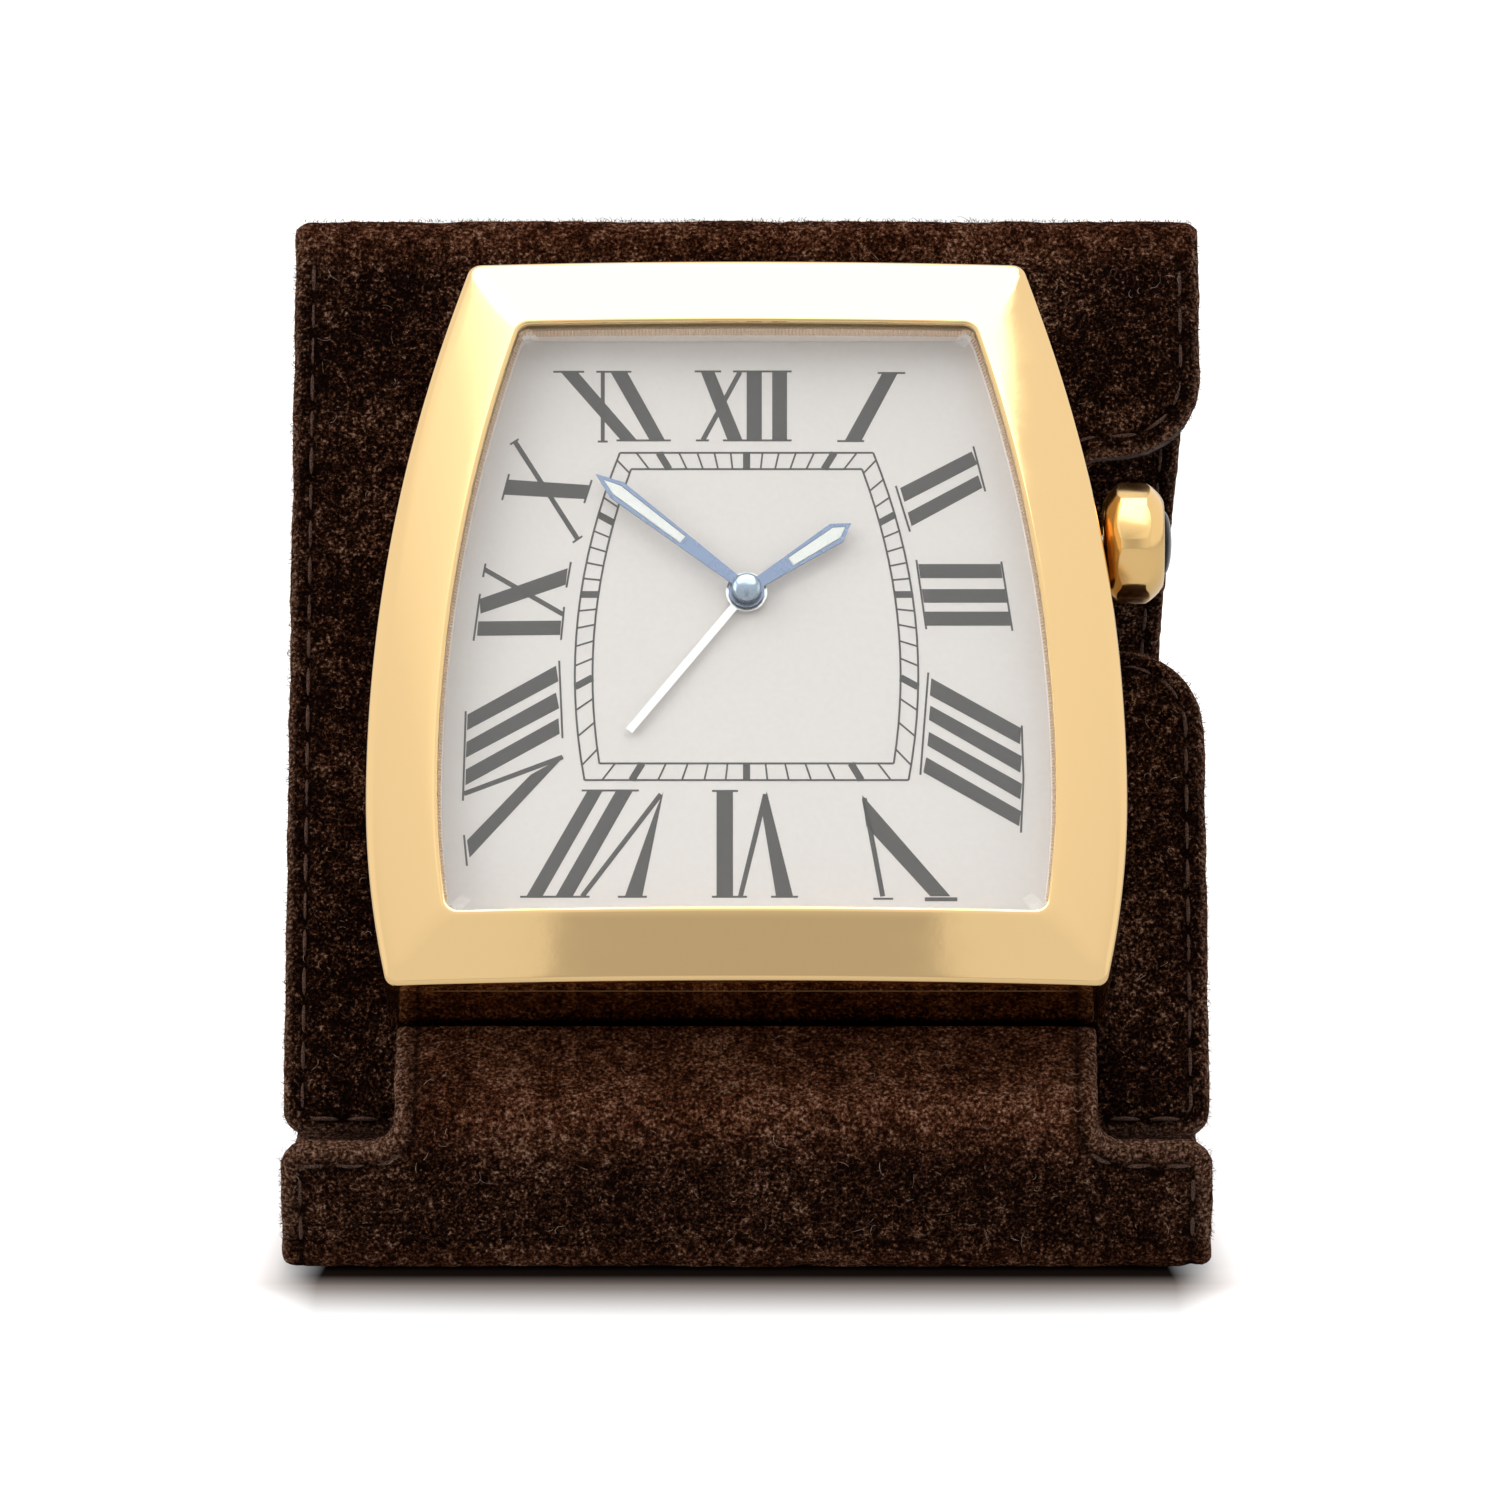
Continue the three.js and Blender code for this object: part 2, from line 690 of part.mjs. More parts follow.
// Hands: each drawn pointing to twelve, then turned clockwise to the time shown
const wideShare = 0.86;
function handOutline(length, root, wide, hub) {
  const start = Math.sqrt(hub * hub - (root * root) / 4);
  const arc = Math.atan2(root / 2, start);
  const points = [];
  for (let i = 0; i <= fineSides; i += 1) {
    const a = Math.PI / 2 + arc + (i / fineSides) * (2 * Math.PI - 2 * arc);
    points.push([hub * Math.cos(a), hub * Math.sin(a)]);
  }
  points.push([wide / 2, length * wideShare], [0, length], [-wide / 2, length * wideShare]);
  return points;
}

const lumeStartShare = 0.42;
const lumeEndShare = 0.95;
const lumeWideShare = 0.62;
function lumeOutline(length, root, wide, slack) {
  const inner = length * lumeStartShare;
  const slope = (wide - root) / (length * wideShare);
  const innerHalf = ((root + slope * inner) / 2) * lumeWideShare - slack;
  const outerHalf = (wide / 2) * lumeWideShare - slack;
  return [
    [innerHalf, inner + slack],
    [outerHalf, length * wideShare],
    [0, length * lumeEndShare - slack],
    [-outerHalf, length * wideShare],
    [-innerHalf, inner + slack],
  ];
}

function addHand(name, turnDeg, level, length, root, wide, hub, bore, material) {
  const outline = handOutline(length, root, wide, hub);
  const holes = [circle(0, 0, bore), lumeOutline(length, root, wide, 0)];
  const body = plate(outline, level, level + handThick, holes);
  const lume = plate(lumeOutline(length, root, wide, lumeGap), level, level + handThick);
  arbor.add(piece(name, body.rotateZ(-rad(turnDeg)), material));
  arbor.add(piece(name + "_lume", lume.rotateZ(-rad(turnDeg)), lumeWhite));
}

const hubRim = 0.7;
const alarmRim = 0.58;
const pressGap = runGap / 2;
addHand("minute_hand", minuteDeg, minuteLevel, minuteLength, minuteRoot, minuteWidth,
  cannonPipe + pressGap + hubRim + runGap, cannonPipe + pressGap, blued);
addHand("hour_hand", hourDeg, hourLevel, hourLength, hourRoot, hourWidth,
  hourPipe + pressGap + hubRim, hourPipe + pressGap, blued);

const alarmHub = alarmPipe + pressGap + alarmRim;
const alarmArc = Math.asin(alarmWidth / 2 / alarmHub);
const alarmOutline = [[alarmWidth / 2, alarmLength], [-alarmWidth / 2, alarmLength]];
for (let i = 0; i <= roundSides; i += 1) {
  const a = Math.PI / 2 + alarmArc + (i / roundSides) * (2 * Math.PI - 2 * alarmArc);
  alarmOutline.push([alarmHub * Math.cos(a), alarmHub * Math.sin(a)]);
}
const alarmHoles = [circle(0, 0, alarmPipe + pressGap)];
const alarmBody = plate(alarmOutline, alarmLevel, alarmLevel + handThick, alarmHoles);
arbor.add(piece("alarm_hand", alarmBody.rotateZ(-rad(alarmDeg)), silver));

// Domed cap on the end of the arbor
const capShares = [0.25, 0.55, 0.8];
const capProfile = [new THREE.Vector2(0, capLevel), new THREE.Vector2(capRadius, capLevel)];
for (const share of capShares) {
  const height = capLevel + capHeight * share;
  capProfile.push(new THREE.Vector2(capRadius * Math.sqrt(1 - share * share * share), height));
}
capProfile.push(new THREE.Vector2(0, capLevel + capHeight));
const cap = new THREE.LatheGeometry(capProfile, fineSides).rotateX(Math.PI / 2);
arbor.add(piece("arbor_cap", cap, blued));
holder.add(arbor);

// Crown: eight flats with turned ends, on a stem that runs through a tube in the case wall
const crownGroup = new THREE.Group();
crownGroup.position.set(0, crownS, crownH);
const crownFlats = 8;
const cornerRadius = crownAcross / 2 / Math.cos(Math.PI / crownFlats);
const flats = barX(cornerRadius, crownStart, crownStart + crownLength, crownFlats);
flats.rotateX(Math.PI / crownFlats);
const turnedShare = 0.6;
const bandShare = 1 / 3;
const turned = crownAcross / 2 + (cornerRadius - crownAcross / 2) * turnedShare;
const turnedEnd = turned - crownChamfer;
const crownEnd = crownStart + crownLength;
const crownTurning = new THREE.LatheGeometry([
  new THREE.Vector2(0, crownStart),
  new THREE.Vector2(crownNeck, crownStart),
  new THREE.Vector2(turnedEnd, crownStart + crownChamfer / 2),
  new THREE.Vector2(turned, crownStart + crownLength * bandShare),
  new THREE.Vector2(turned, crownEnd - crownLength * bandShare),
  new THREE.Vector2(turnedEnd, crownEnd - crownChamfer / 4),
  new THREE.Vector2(cabochonRadius + crownChamfer / 2, crownEnd),
  new THREE.Vector2(0, crownEnd),
], roundSides).rotateZ(-Math.PI / 2);
const crownSink = barX(cabochonRadius + runGap, crownEnd - cabochonSeat, crownEnd + over, roundSides);
const stemSocket = barX(stemRadius + runGap, crownStart - over, crownStart + crownLength / 2);
const crownBody = cut(common(flats, crownTurning), crownSink, stemSocket);
crownGroup.add(piece("crown", crownBody, gilt));
crownGroup.add(piece("crown_stem", barX(stemRadius, stemEnd, crownStart + crownLength / 2 - fit), steel));

const stoneLow = crownEnd - cabochonSeat + runGap;
const stoneProfile = [new THREE.Vector2(0, stoneLow), new THREE.Vector2(cabochonRadius, stoneLow)];
const stoneRise = cabochonRise + cabochonSeat - runGap;
const stoneWall = 0.35;
const stoneShares = [stoneWall, 0.6, 0.8, 0.94];
for (const share of stoneShares) {
  const x = cabochonRadius * Math.sqrt(1 - ((share - stoneWall) / (1 - stoneWall)) ** 2);
  stoneProfile.push(new THREE.Vector2(x, stoneLow + stoneRise * share));
}
stoneProfile.push(new THREE.Vector2(0, stoneLow + stoneRise));
const stone = new THREE.LatheGeometry(stoneProfile, roundSides).rotateZ(-Math.PI / 2);
crownGroup.add(piece("crown_cabochon", stone, onyx));

// Tube pressed in the case wall, and the yoke that the stem carries when it is pulled
const tubeBody = cut(
  barX(tubeRadius, wallAtCrown - caseWall - ringWidth / 2, wallAtCrown + fit, roundSides),
  barX(stemRadius + runGap, 0, caseHalf + over),
);
crownGroup.add(piece("crown_tube", tubeBody, brass));
const yokeOutline = rectangle(yokeWide, -yokeWide / 2, yokeWide / 2);
const yokeHoles = [circle(0, 0, stemRadius + runGap)];
const yoke = plate(yokeOutline, yokePlace, yokePlace + yokeThick, yokeHoles).rotateY(Math.PI / 2);
crownGroup.add(piece("stem_yoke", yoke, steel));
holder.add(crownGroup);

// Stand: the lip rises from its floor fold to the tab, and the panel leans back from there
const lip = new THREE.Group();
lip.position.set(0, 0, half);
lip.rotation.x = rad(90 + lipLeanDeg);
const foldRadius = half;
const boardStart = foldRadius + foldGap + fit;
const lipTop = lipLength - foldRadius - foldGap;
const tabHalf = tabWidth / 2;
const panelHalf = panelWidth / 2;
const lipOutline = [
  [-panelHalf, boardStart],
  [panelHalf, boardStart],
  [panelHalf, lipShoulder - cornerCut],
  [panelHalf - cornerCut, lipShoulder],
  [tabHalf, lipShoulder],
  [tabHalf, lipTop],
  [-tabHalf, lipTop],
  [-tabHalf, lipShoulder],
  [cornerCut - panelHalf, lipShoulder],
  [-panelHalf, lipShoulder - cornerCut],
];
lip.add(...layers("lip", lipOutline, half, [], suedeBrown, liningBrown));
const lipFold = piece("lip_fold_roll", barX(foldRadius, -tabHalf, tabHalf), foldBrown);
lipFold.position.set(0, lipLength, 0);
lip.add(lipFold);

// The holder hangs on the upper fold of the lip
const foldY = -lipLength * Math.sin(rad(lipLeanDeg));
const foldZ = half + lipLength * Math.cos(rad(lipLeanDeg));
const panelTurn = rad(90 - leanDeg);
function worldOf(y, z) {
  const c = Math.cos(panelTurn);
  const s = Math.sin(panelTurn);
  return [y * c - z * s, y * s + z * c];
}

const [tabY, tabZ] = worldOf(-tabDrop, tabReach);
holder.position.set(0, foldY - tabY, foldZ - tabZ);
holder.rotation.x = panelTurn;

// Leg: long enough to stand on the base behind the panel
const [hingeY, hingeZ] = worldOf(panelHinge, -hingeDepth);
const legY = holder.position.y + hingeY;
const legZ = holder.position.z + hingeZ;
const legTurn = rad(legSpreadDeg);
const legEnd = (legZ - board - fit + foldGap * Math.sin(legTurn)) / Math.cos(legTurn);
const leg = new THREE.Group();
leg.position.set(0, legY, legZ);
leg.rotation.x = legTurn - Math.PI / 2;
const legStart = topRoll + foldGap;
const footHalf = panelHalf - legTaper;
const legOutline = [
  [-footHalf + cornerCut, legEnd],
  [-footHalf, legEnd - cornerCut],
  [-panelHalf, legStart],
  [panelHalf, legStart],
  [footHalf, legEnd - cornerCut],
  [footHalf - cornerCut, legEnd],
].reverse();
leg.add(...layers("leg", legOutline, foldGap + board, [], suedeBrown, liningBrown));

// Base: the cover that lies on the table from the floor fold to just behind the leg
const base = new THREE.Group();
base.position.set(0, 0, half);
const footY = legY + legEnd * Math.sin(legTurn) + hingeDepth * Math.cos(legTurn);
const baseEnd = footY + baseMargin;
const baseOutline = [
  [-panelHalf, boardStart],
  [panelHalf, boardStart],
  [panelHalf, baseEnd - cornerCut],
  [panelHalf - cornerCut, baseEnd],
  [cornerCut - panelHalf, baseEnd],
  [-panelHalf, baseEnd - cornerCut],
];
const baseLayers = layers("base", baseOutline, half, [], liningBrown, suedeBrown);
baseLayers[0].name = "base_lining";
baseLayers[2].name = "base_suede";
base.add(...baseLayers);
base.add(piece("floor_fold_roll", barX(foldRadius, -panelHalf, panelHalf), foldBrown));

// The whole clock, with the origin on the table under its middle
const clock = new THREE.Group();
clock.add(holder, leg, lip, base);
clock.updateMatrixWorld(true);
const middle = new THREE.Box3().setFromObject(clock, true).getCenter(new THREE.Vector3());
for (const group of [holder, leg, lip, base]) {
  group.position.y -= middle.y;
}

export default clock;
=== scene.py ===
# %% [markdown]
# Travel clock on a folding suede stand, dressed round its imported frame.
# The frame holds every size and every moving body. This lesson gives each piece the surface that
# the real one has: napped suede, mirror-polished gilt, a lacquered dial, blue hands and a glass.

# %% Load the frame
import json
import math
import random

import bpy
import numpy as np
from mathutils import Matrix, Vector


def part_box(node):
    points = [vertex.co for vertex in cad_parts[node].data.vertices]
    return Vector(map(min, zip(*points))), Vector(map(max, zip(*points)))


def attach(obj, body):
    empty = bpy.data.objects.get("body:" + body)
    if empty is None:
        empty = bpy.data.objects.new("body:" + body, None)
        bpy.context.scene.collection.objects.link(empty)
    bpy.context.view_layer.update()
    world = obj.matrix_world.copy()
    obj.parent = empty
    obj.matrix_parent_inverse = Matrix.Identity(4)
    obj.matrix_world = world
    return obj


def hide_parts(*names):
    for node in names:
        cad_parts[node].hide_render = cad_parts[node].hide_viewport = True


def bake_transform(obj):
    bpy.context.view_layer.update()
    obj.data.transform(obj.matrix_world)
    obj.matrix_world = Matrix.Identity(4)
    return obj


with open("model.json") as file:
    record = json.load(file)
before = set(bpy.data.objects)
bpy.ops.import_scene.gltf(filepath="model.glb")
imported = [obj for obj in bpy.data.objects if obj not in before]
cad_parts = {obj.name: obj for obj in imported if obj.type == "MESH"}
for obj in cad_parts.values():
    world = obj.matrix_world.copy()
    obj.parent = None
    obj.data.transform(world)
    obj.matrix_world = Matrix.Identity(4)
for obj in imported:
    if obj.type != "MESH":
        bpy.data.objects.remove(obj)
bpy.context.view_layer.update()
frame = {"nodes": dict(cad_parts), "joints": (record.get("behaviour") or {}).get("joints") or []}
bpy.ops.object.select_all(action="DESELECT")

# %% [markdown]
# The clock leans back, so its pieces are easiest to describe in the leaning panel's own axes:
# across, up the panel, and out of its face. The hands' joint gives that frame: its axis points
# into the dial, and its place is the dial's centre. Lengths are written in millimetres.

# %% The panel's own axes
MM = 0.001
HAND_UP = 51.55
joints = {joint["name"]: joint for joint in frame["joints"]}
ACROSS = Vector((1, 0, 0))
OUT = -Vector(joints["minute_turn"]["axis"]).normalized()
UP = OUT.cross(ACROSS)
ORIGIN = Vector(joints["minute_turn"]["pos_m"]) - UP * HAND_UP * MM
FLOOR_FOLD = Vector(joints["base_fold"]["pos_m"])
LIP_FOLD = Vector(joints["lip_fold"]["pos_m"])
TOP_FOLD = Vector(joints["leg_fold"]["pos_m"])


def on_panel(u, s, h):
    """A point of the clock or its panel, from millimetres across, up and out."""
    return ORIGIN + (ACROSS * u + UP * s + OUT * h) * MM


def in_frame(origin, along, out):
    """A placing function for a board that has its own axes."""
    return lambda u, s, h: origin + (ACROSS * u + along * s + out * h) * MM


# %% [markdown]
# The camera stands where the photographer's did: 15 degrees above the table with a long lens, so
# the board's sides stay nearly parallel. The picture is taken as 1500 pixels square.

# %% Camera
CAMERA_ELEVATION = math.radians(15)
CAMERA_DISTANCE = 1.2
PICTURE = 1500
PIXELS_PER_MM = 9.667
FLOOR_ROW = 1274
MIDDLE_COLUMN = 746.5

look = Vector((0, math.cos(CAMERA_ELEVATION), -math.sin(CAMERA_ELEVATION)))
rise = (FLOOR_ROW - PICTURE / 2) / PIXELS_PER_MM / math.cos(CAMERA_ELEVATION)
aside = (PICTURE / 2 - MIDDLE_COLUMN) / PIXELS_PER_MM
aim = Vector((aside * MM, FLOOR_FOLD.y, rise * MM))
bpy.ops.object.camera_add(location=aim - look * CAMERA_DISTANCE)
camera = bpy.context.object
camera.rotation_euler = look.to_track_quat("-Z", "Y").to_euler()
camera.data.sensor_width = 36
camera.data.lens = camera.data.sensor_width * PIXELS_PER_MM * CAMERA_DISTANCE / MM / PICTURE
camera.data.clip_end = 20
bpy.context.scene.camera = camera
bpy.context.scene.view_settings.view_transform = "Standard"
print("lens", round(camera.data.lens, 1), "mm")

# %% [markdown]
# Colours are sRGB hex values, as read on a screen, and one function turns them to the linear
# values that the shaders need. A second small function adds a node with its settings and links.

# %% Colour and node helpers
def linear(code):
    """An sRGB hex colour as linear RGBA."""
    parts = [int(code[i:i + 2], 16) / 255 for i in (1, 3, 5)]
    low = [v / 12.92 if v <= 0.04045 else ((v + 0.055) / 1.055) ** 2.4 for v in parts]
    return (*low, 1)


def add(tree, kind, inputs=None, **settings):
    """Adds a node, sets its properties, and fills or links its inputs."""
    made = tree.nodes.new(kind)
    for key, value in settings.items():
        setattr(made, key, value)
    for key, value in (inputs or {}).items():
        if isinstance(value, bpy.types.NodeSocket):
            tree.links.new(value, made.inputs[key])
        else:
            made.inputs[key].default_value = value
    return made


def new_material(name):
    """An empty node material and its tree."""
    material = bpy.data.materials.new(name)
    material.use_nodes = True
    material.node_tree.nodes.clear()
    return material, material.node_tree


def finish_material(tree, surface):
    """Links a shader to the material's output."""
    add(tree, "ShaderNodeOutputMaterial", {"Surface": surface.outputs[0]})


def grain(tree, size_mm, detail=2, rough=0.5, stretch=(1, 1, 1)):
    """Noise on object coordinates whose features are about so many millimetres wide."""
    place = add(tree, "ShaderNodeTexCoord").outputs["Object"]
    turned = add(tree, "ShaderNodeMapping", {"Vector": place, "Scale": stretch}).outputs["Vector"]
    return add(tree, "ShaderNodeTexNoise", {
        "Vector": turned, "Scale": 1 / (size_mm * MM), "Detail": detail, "Roughness": rough,
    }).outputs["Fac"]


def ramp(tree, factor, *stops):
    """A colour ramp from (place, hex colour) stops."""
    made = add(tree, "ShaderNodeValToRGB", {"Fac": factor})
    elements = made.color_ramp.elements
    while len(elements) < len(stops):
        elements.new(0.5)
    for element, (place, code) in zip(elements, stops):
        element.position = place
        element.color = linear(code)
    return made.outputs["Color"]


# %% [markdown]
# The floor is a plain white sheet. It scatters light as paper does. For camera rays it also glows,
# more and more with the distance from the stand's outline. For camera rays its colour also holds
# painted shade: a little greyer at the foot, and a nearly black painted shadow where the lip hangs
# over it. So the sheet turns plain white two centimetres away while the tight shadow along the foot
# stays, partly cast and partly painted. Camera rays alone put no light on the object.

# %% Floor
STAND_SIDE, STAND_FRONT, STAND_BACK = 0.0487, -0.0534, 0.05
GLOW_START, GLOW_REACH, SIDE_SPREAD, BACK_FADE, PAINTED_SHADE_REACH = 0.002, 0.025, 0.12, 0.02, 0.012
SIDE_GLOW, PAINTED_SHADOW_DEPTH, PAINTED_SHADOW_END = (-0.004, 0.0045), (-0.0544, -0.0508), (-0.003, 0.0005)
bpy.ops.mesh.primitive_plane_add(size=8, location=(0, 0, 0))
floor = bpy.context.object
floor.name = "white_sheet"
bpy.ops.object.transform_apply(location=True, rotation=True, scale=True)
paper, tree = new_material("white matt paper")
place = add(tree, "ShaderNodeTexCoord").outputs["Object"]
spot = add(tree, "ShaderNodeSeparateXYZ", {"Vector": place}).outputs
seen = add(tree, "ShaderNodeLightPath").outputs["Is Camera Ray"]
beside = add(tree, "ShaderNodeMath", {
    0: add(tree, "ShaderNodeMath", {0: spot["X"]}, operation="ABSOLUTE").outputs[0], 1: STAND_SIDE,
}, operation="SUBTRACT").outputs[0]
behind = add(tree, "ShaderNodeMath", {
    0: add(tree, "ShaderNodeMath", {0: spot["Y"], 1: STAND_FRONT}, operation="SUBTRACT").outputs[0], 1: 0,
}, operation="MAXIMUM").outputs[0]
ahead = add(tree, "ShaderNodeMath", {
    0: add(tree, "ShaderNodeMath", {0: STAND_FRONT, 1: spot["Y"]}, operation="SUBTRACT").outputs[0], 1: 0,
}, operation="MAXIMUM").outputs[0]
side_glow = add(tree, "ShaderNodeMapRange", {
    "Value": add(tree, "ShaderNodeMath", {
        0: beside,
        1: add(tree, "ShaderNodeMath", {0: behind, 1: SIDE_SPREAD}, operation="MULTIPLY").outputs[0],
    }, operation="ADD").outputs[0],
    "From Min": SIDE_GLOW[0], "From Max": SIDE_GLOW[1]}).outputs["Result"]
glow = add(tree, "ShaderNodeMath", {
    0: side_glow,
    1: add(tree, "ShaderNodeMapRange", {
        "Value": ahead, "From Min": GLOW_START, "From Max": GLOW_REACH}).outputs["Result"],
}, operation="ADD").outputs[0]
glow = add(tree, "ShaderNodeMath", {0: glow, 1: 1}, operation="MINIMUM").outputs[0]
glow = add(tree, "ShaderNodeMath", {
    0: glow,
    1: add(tree, "ShaderNodeMapRange", {
        "Value": spot["Y"], "From Min": STAND_BACK, "From Max": STAND_BACK + BACK_FADE,
    }).outputs["Result"]}, operation="MAXIMUM").outputs[0]
white = add(tree, "ShaderNodeEmission", {
    "Color": linear("#ffffff"),
    "Strength": add(tree, "ShaderNodeMath", {0: glow, 1: seen}, operation="MULTIPLY").outputs[0]})
# Painted shade: for camera rays the paper turns greyer (#a3968f) towards the lip's foot.
foot = add(tree, "ShaderNodeMath", {
    0: add(tree, "ShaderNodeMapRange", {
        "Value": ahead, "From Max": PAINTED_SHADE_REACH, "To Min": 1.0, "To Max": 0.0}).outputs["Result"],
    1: seen}, operation="MULTIPLY").outputs[0]
# Painted shadow: for camera rays the paper turns nearly black (#241c18) in a strip where the lip hangs
# over it, ending near the stand's sides.
contact = add(tree, "ShaderNodeMath", {
    0: add(tree, "ShaderNodeMapRange", {
        "Value": spot["Y"], "From Min": PAINTED_SHADOW_DEPTH[0], "From Max": PAINTED_SHADOW_DEPTH[1],
    }).outputs["Result"],
    1: seen}, operation="MULTIPLY").outputs[0]
contact = add(tree, "ShaderNodeMath", {
    0: contact,
    1: add(tree, "ShaderNodeMapRange", {
        "Value": beside, "From Min": PAINTED_SHADOW_END[0], "From Max": PAINTED_SHADOW_END[1], "To Min": 1.0,
        "To Max": 0.0}).outputs["Result"]}, operation="MULTIPLY").outputs[0]
sheet = add(tree, "ShaderNodeMix", {
    0: foot, 6: linear("#f2f2f2"), 7: linear("#a3968f")}, data_type="RGBA").outputs[2]
matt = add(tree, "ShaderNodeBsdfDiffuse", {
    "Color": add(tree, "ShaderNodeMix", {
        0: contact, 6: sheet, 7: linear("#241c18")}, data_type="RGBA").outputs[2]})
finish_material(tree, add(tree, "ShaderNodeAddShader", {
    0: matt.outputs[0], 1: white.outputs[0]}))
floor.data.materials.append(paper)
print("floor 8 m square")

# %% [markdown]
# Polished gilt is a mirror, so its tone is the tone of the studio. The studio is a white tent:
# a bright soft box overhead, dimmer cloth at the sides, lit from above on the left, and a dim patch
# low in front where the camera and its operator's table stand. Glossy and transmitted rays see that
# tent, camera rays see white.

# %% Tent of light
AMBIENT, SOFT_BOX, LEFT_CLOTH, BELOW_DIM, PATCH_DIM = 0.5, 2.2, 0.32, 0.87, 0.62
LEFT_EDGE, RIGHT_EDGE, BOX_END, CLOTH_LEVEL = (0.834, 0.90), (0.840, 0.854), (0.445, 0.475), 0.77
BELOW_LEVEL, PATCH_SIDE = (0.58, 0.76), (0.115, 0.124)
world = bpy.data.worlds.new("white_tent")
bpy.context.scene.world = world
world.use_nodes = True
tree = world.node_tree
tree.nodes.clear()
toward = add(tree, "ShaderNodeTexCoord").outputs["Generated"]
axes = add(tree, "ShaderNodeSeparateXYZ", {"Vector": toward}).outputs
sideways = add(tree, "ShaderNodeMath", {0: axes["X"]}, operation="ABSOLUTE").outputs[0]
height = add(tree, "ShaderNodeMath", {
    0: axes["Z"],
    1: add(tree, "ShaderNodeMapRange", {
        "Value": sideways, "From Min": 0.2, "From Max": 0.3, "To Max": 0.03}).outputs["Result"],
}, operation="ADD").outputs[0]
overhead = add(tree, "ShaderNodeMix", {
    0: add(tree, "ShaderNodeMapRange", {
        "Value": axes["X"], "From Min": -0.1, "From Max": 0.1}).outputs["Result"],
    2: add(tree, "ShaderNodeMapRange", {
        "Value": height, "From Min": LEFT_EDGE[0], "From Max": LEFT_EDGE[1], "To Max": SOFT_BOX,
    }).outputs["Result"],
    3: add(tree, "ShaderNodeMapRange", {
        "Value": height, "From Min": RIGHT_EDGE[0], "From Max": RIGHT_EDGE[1], "To Max": SOFT_BOX,
    }).outputs["Result"]}, data_type="FLOAT").outputs[0]
overhead = add(tree, "ShaderNodeMath", {
    0: overhead,
    1: add(tree, "ShaderNodeMapRange", {
        "Value": axes["X"], "From Min": BOX_END[0], "From Max": BOX_END[1], "To Min": 1.0, "To Max": 0.0,
    }).outputs["Result"]}, operation="MULTIPLY").outputs[0]
left_cloth = add(tree, "ShaderNodeMath", {
    0: add(tree, "ShaderNodeMapRange", {
        "Value": height, "From Min": CLOTH_LEVEL, "From Max": LEFT_EDGE[0], "To Max": LEFT_CLOTH,
    }).outputs["Result"],
    1: add(tree, "ShaderNodeMapRange", {
        "Value": axes["X"], "From Min": -0.3, "From Max": -0.2, "To Min": 1.0, "To Max": 0.0,
    }).outputs["Result"]}, operation="MULTIPLY").outputs[0]
overhead = add(tree, "ShaderNodeMath", {0: overhead, 1: left_cloth}, operation="ADD").outputs[0]
below = add(tree, "ShaderNodeMath", {
    0: add(tree, "ShaderNodeMapRange", {
        "Value": axes["Z"], "From Min": BELOW_LEVEL[0], "From Max": BELOW_LEVEL[1], "To Min": 1.0,
        "To Max": 0.0}).outputs["Result"],
    1: add(tree, "ShaderNodeMapRange", {
        "Value": axes["Y"], "From Min": -0.4, "From Max": -0.3, "To Min": 1.0, "To Max": 0.0,
    }).outputs["Result"]}, operation="MULTIPLY").outputs[0]
patch = add(tree, "ShaderNodeMath", {
    0: below,
    1: add(tree, "ShaderNodeMapRange", {
        "Value": sideways, "From Min": PATCH_SIDE[0], "From Max": PATCH_SIDE[1], "To Min": 1.0,
        "To Max": 0.0}).outputs["Result"]}, operation="MULTIPLY").outputs[0]
dim = add(tree, "ShaderNodeMath", {
    0: add(tree, "ShaderNodeMapRange", {
        "Value": patch, "To Min": 1.0, "To Max": PATCH_DIM}).outputs["Result"],
    1: add(tree, "ShaderNodeMapRange", {
        "Value": below, "To Min": 1.0, "To Max": BELOW_DIM}).outputs["Result"],
}, operation="MULTIPLY").outputs[0]
tent = add(tree, "ShaderNodeMath", {0: dim, 1: overhead}, operation="ADD").outputs[0]
path = add(tree, "ShaderNodeLightPath").outputs
shiny = add(tree, "ShaderNodeMath", {
    0: path["Is Glossy Ray"], 1: path["Is Transmission Ray"]}, operation="MAXIMUM").outputs[0]
strength = add(tree, "ShaderNodeMath", {
    0: add(tree, "ShaderNodeMath", {0: shiny, 1: tent}, operation="MULTIPLY").outputs[0],
    1: add(tree, "ShaderNodeMapRange", {
        "Value": shiny, "To Min": AMBIENT, "To Max": 0.0}).outputs["Result"]}, operation="ADD").outputs[0]
strength = add(tree, "ShaderNodeMix", {
    0: path["Is Camera Ray"], 2: strength, 3: 1.0}, data_type="FLOAT").outputs[0]
backdrop = add(tree, "ShaderNodeBackground", {"Color": linear("#ffffff"), "Strength": strength})
add(tree, "ShaderNodeOutputWorld", {"Surface": backdrop.outputs[0]})
print("tent of light")

# %% Lamps
KEY_WATTS = 4.5
TOP_WATTS = 4.0
FILL_WATTS = 1.5
CLOCK_MIDDLE = Vector((0, 0, 0.05))


def soft_lamp(name, place, size, watts):
    """A square soft box that faces the clock. Mirrors see the tent, and not the box."""
    bpy.ops.object.light_add(type="AREA", location=place)
    lamp = bpy.context.object
    lamp.name = name
    lamp.data.shape = "SQUARE"
    lamp.data.size = size
    lamp.data.energy = watts
    lamp.visible_glossy = False
    lamp.rotation_euler = (CLOCK_MIDDLE - Vector(place)).to_track_quat("-Z", "Y").to_euler()


soft_lamp("left_key", (-1.0, -0.35, 0.75), 0.8, KEY_WATTS)
soft_lamp("top_soft_box", (0.0, 0.15, 1.3), 0.9, TOP_WATTS)
soft_lamp("right_fill", (1.1, -0.3, 0.6), 0.8, FILL_WATTS)
print("three soft lamps")
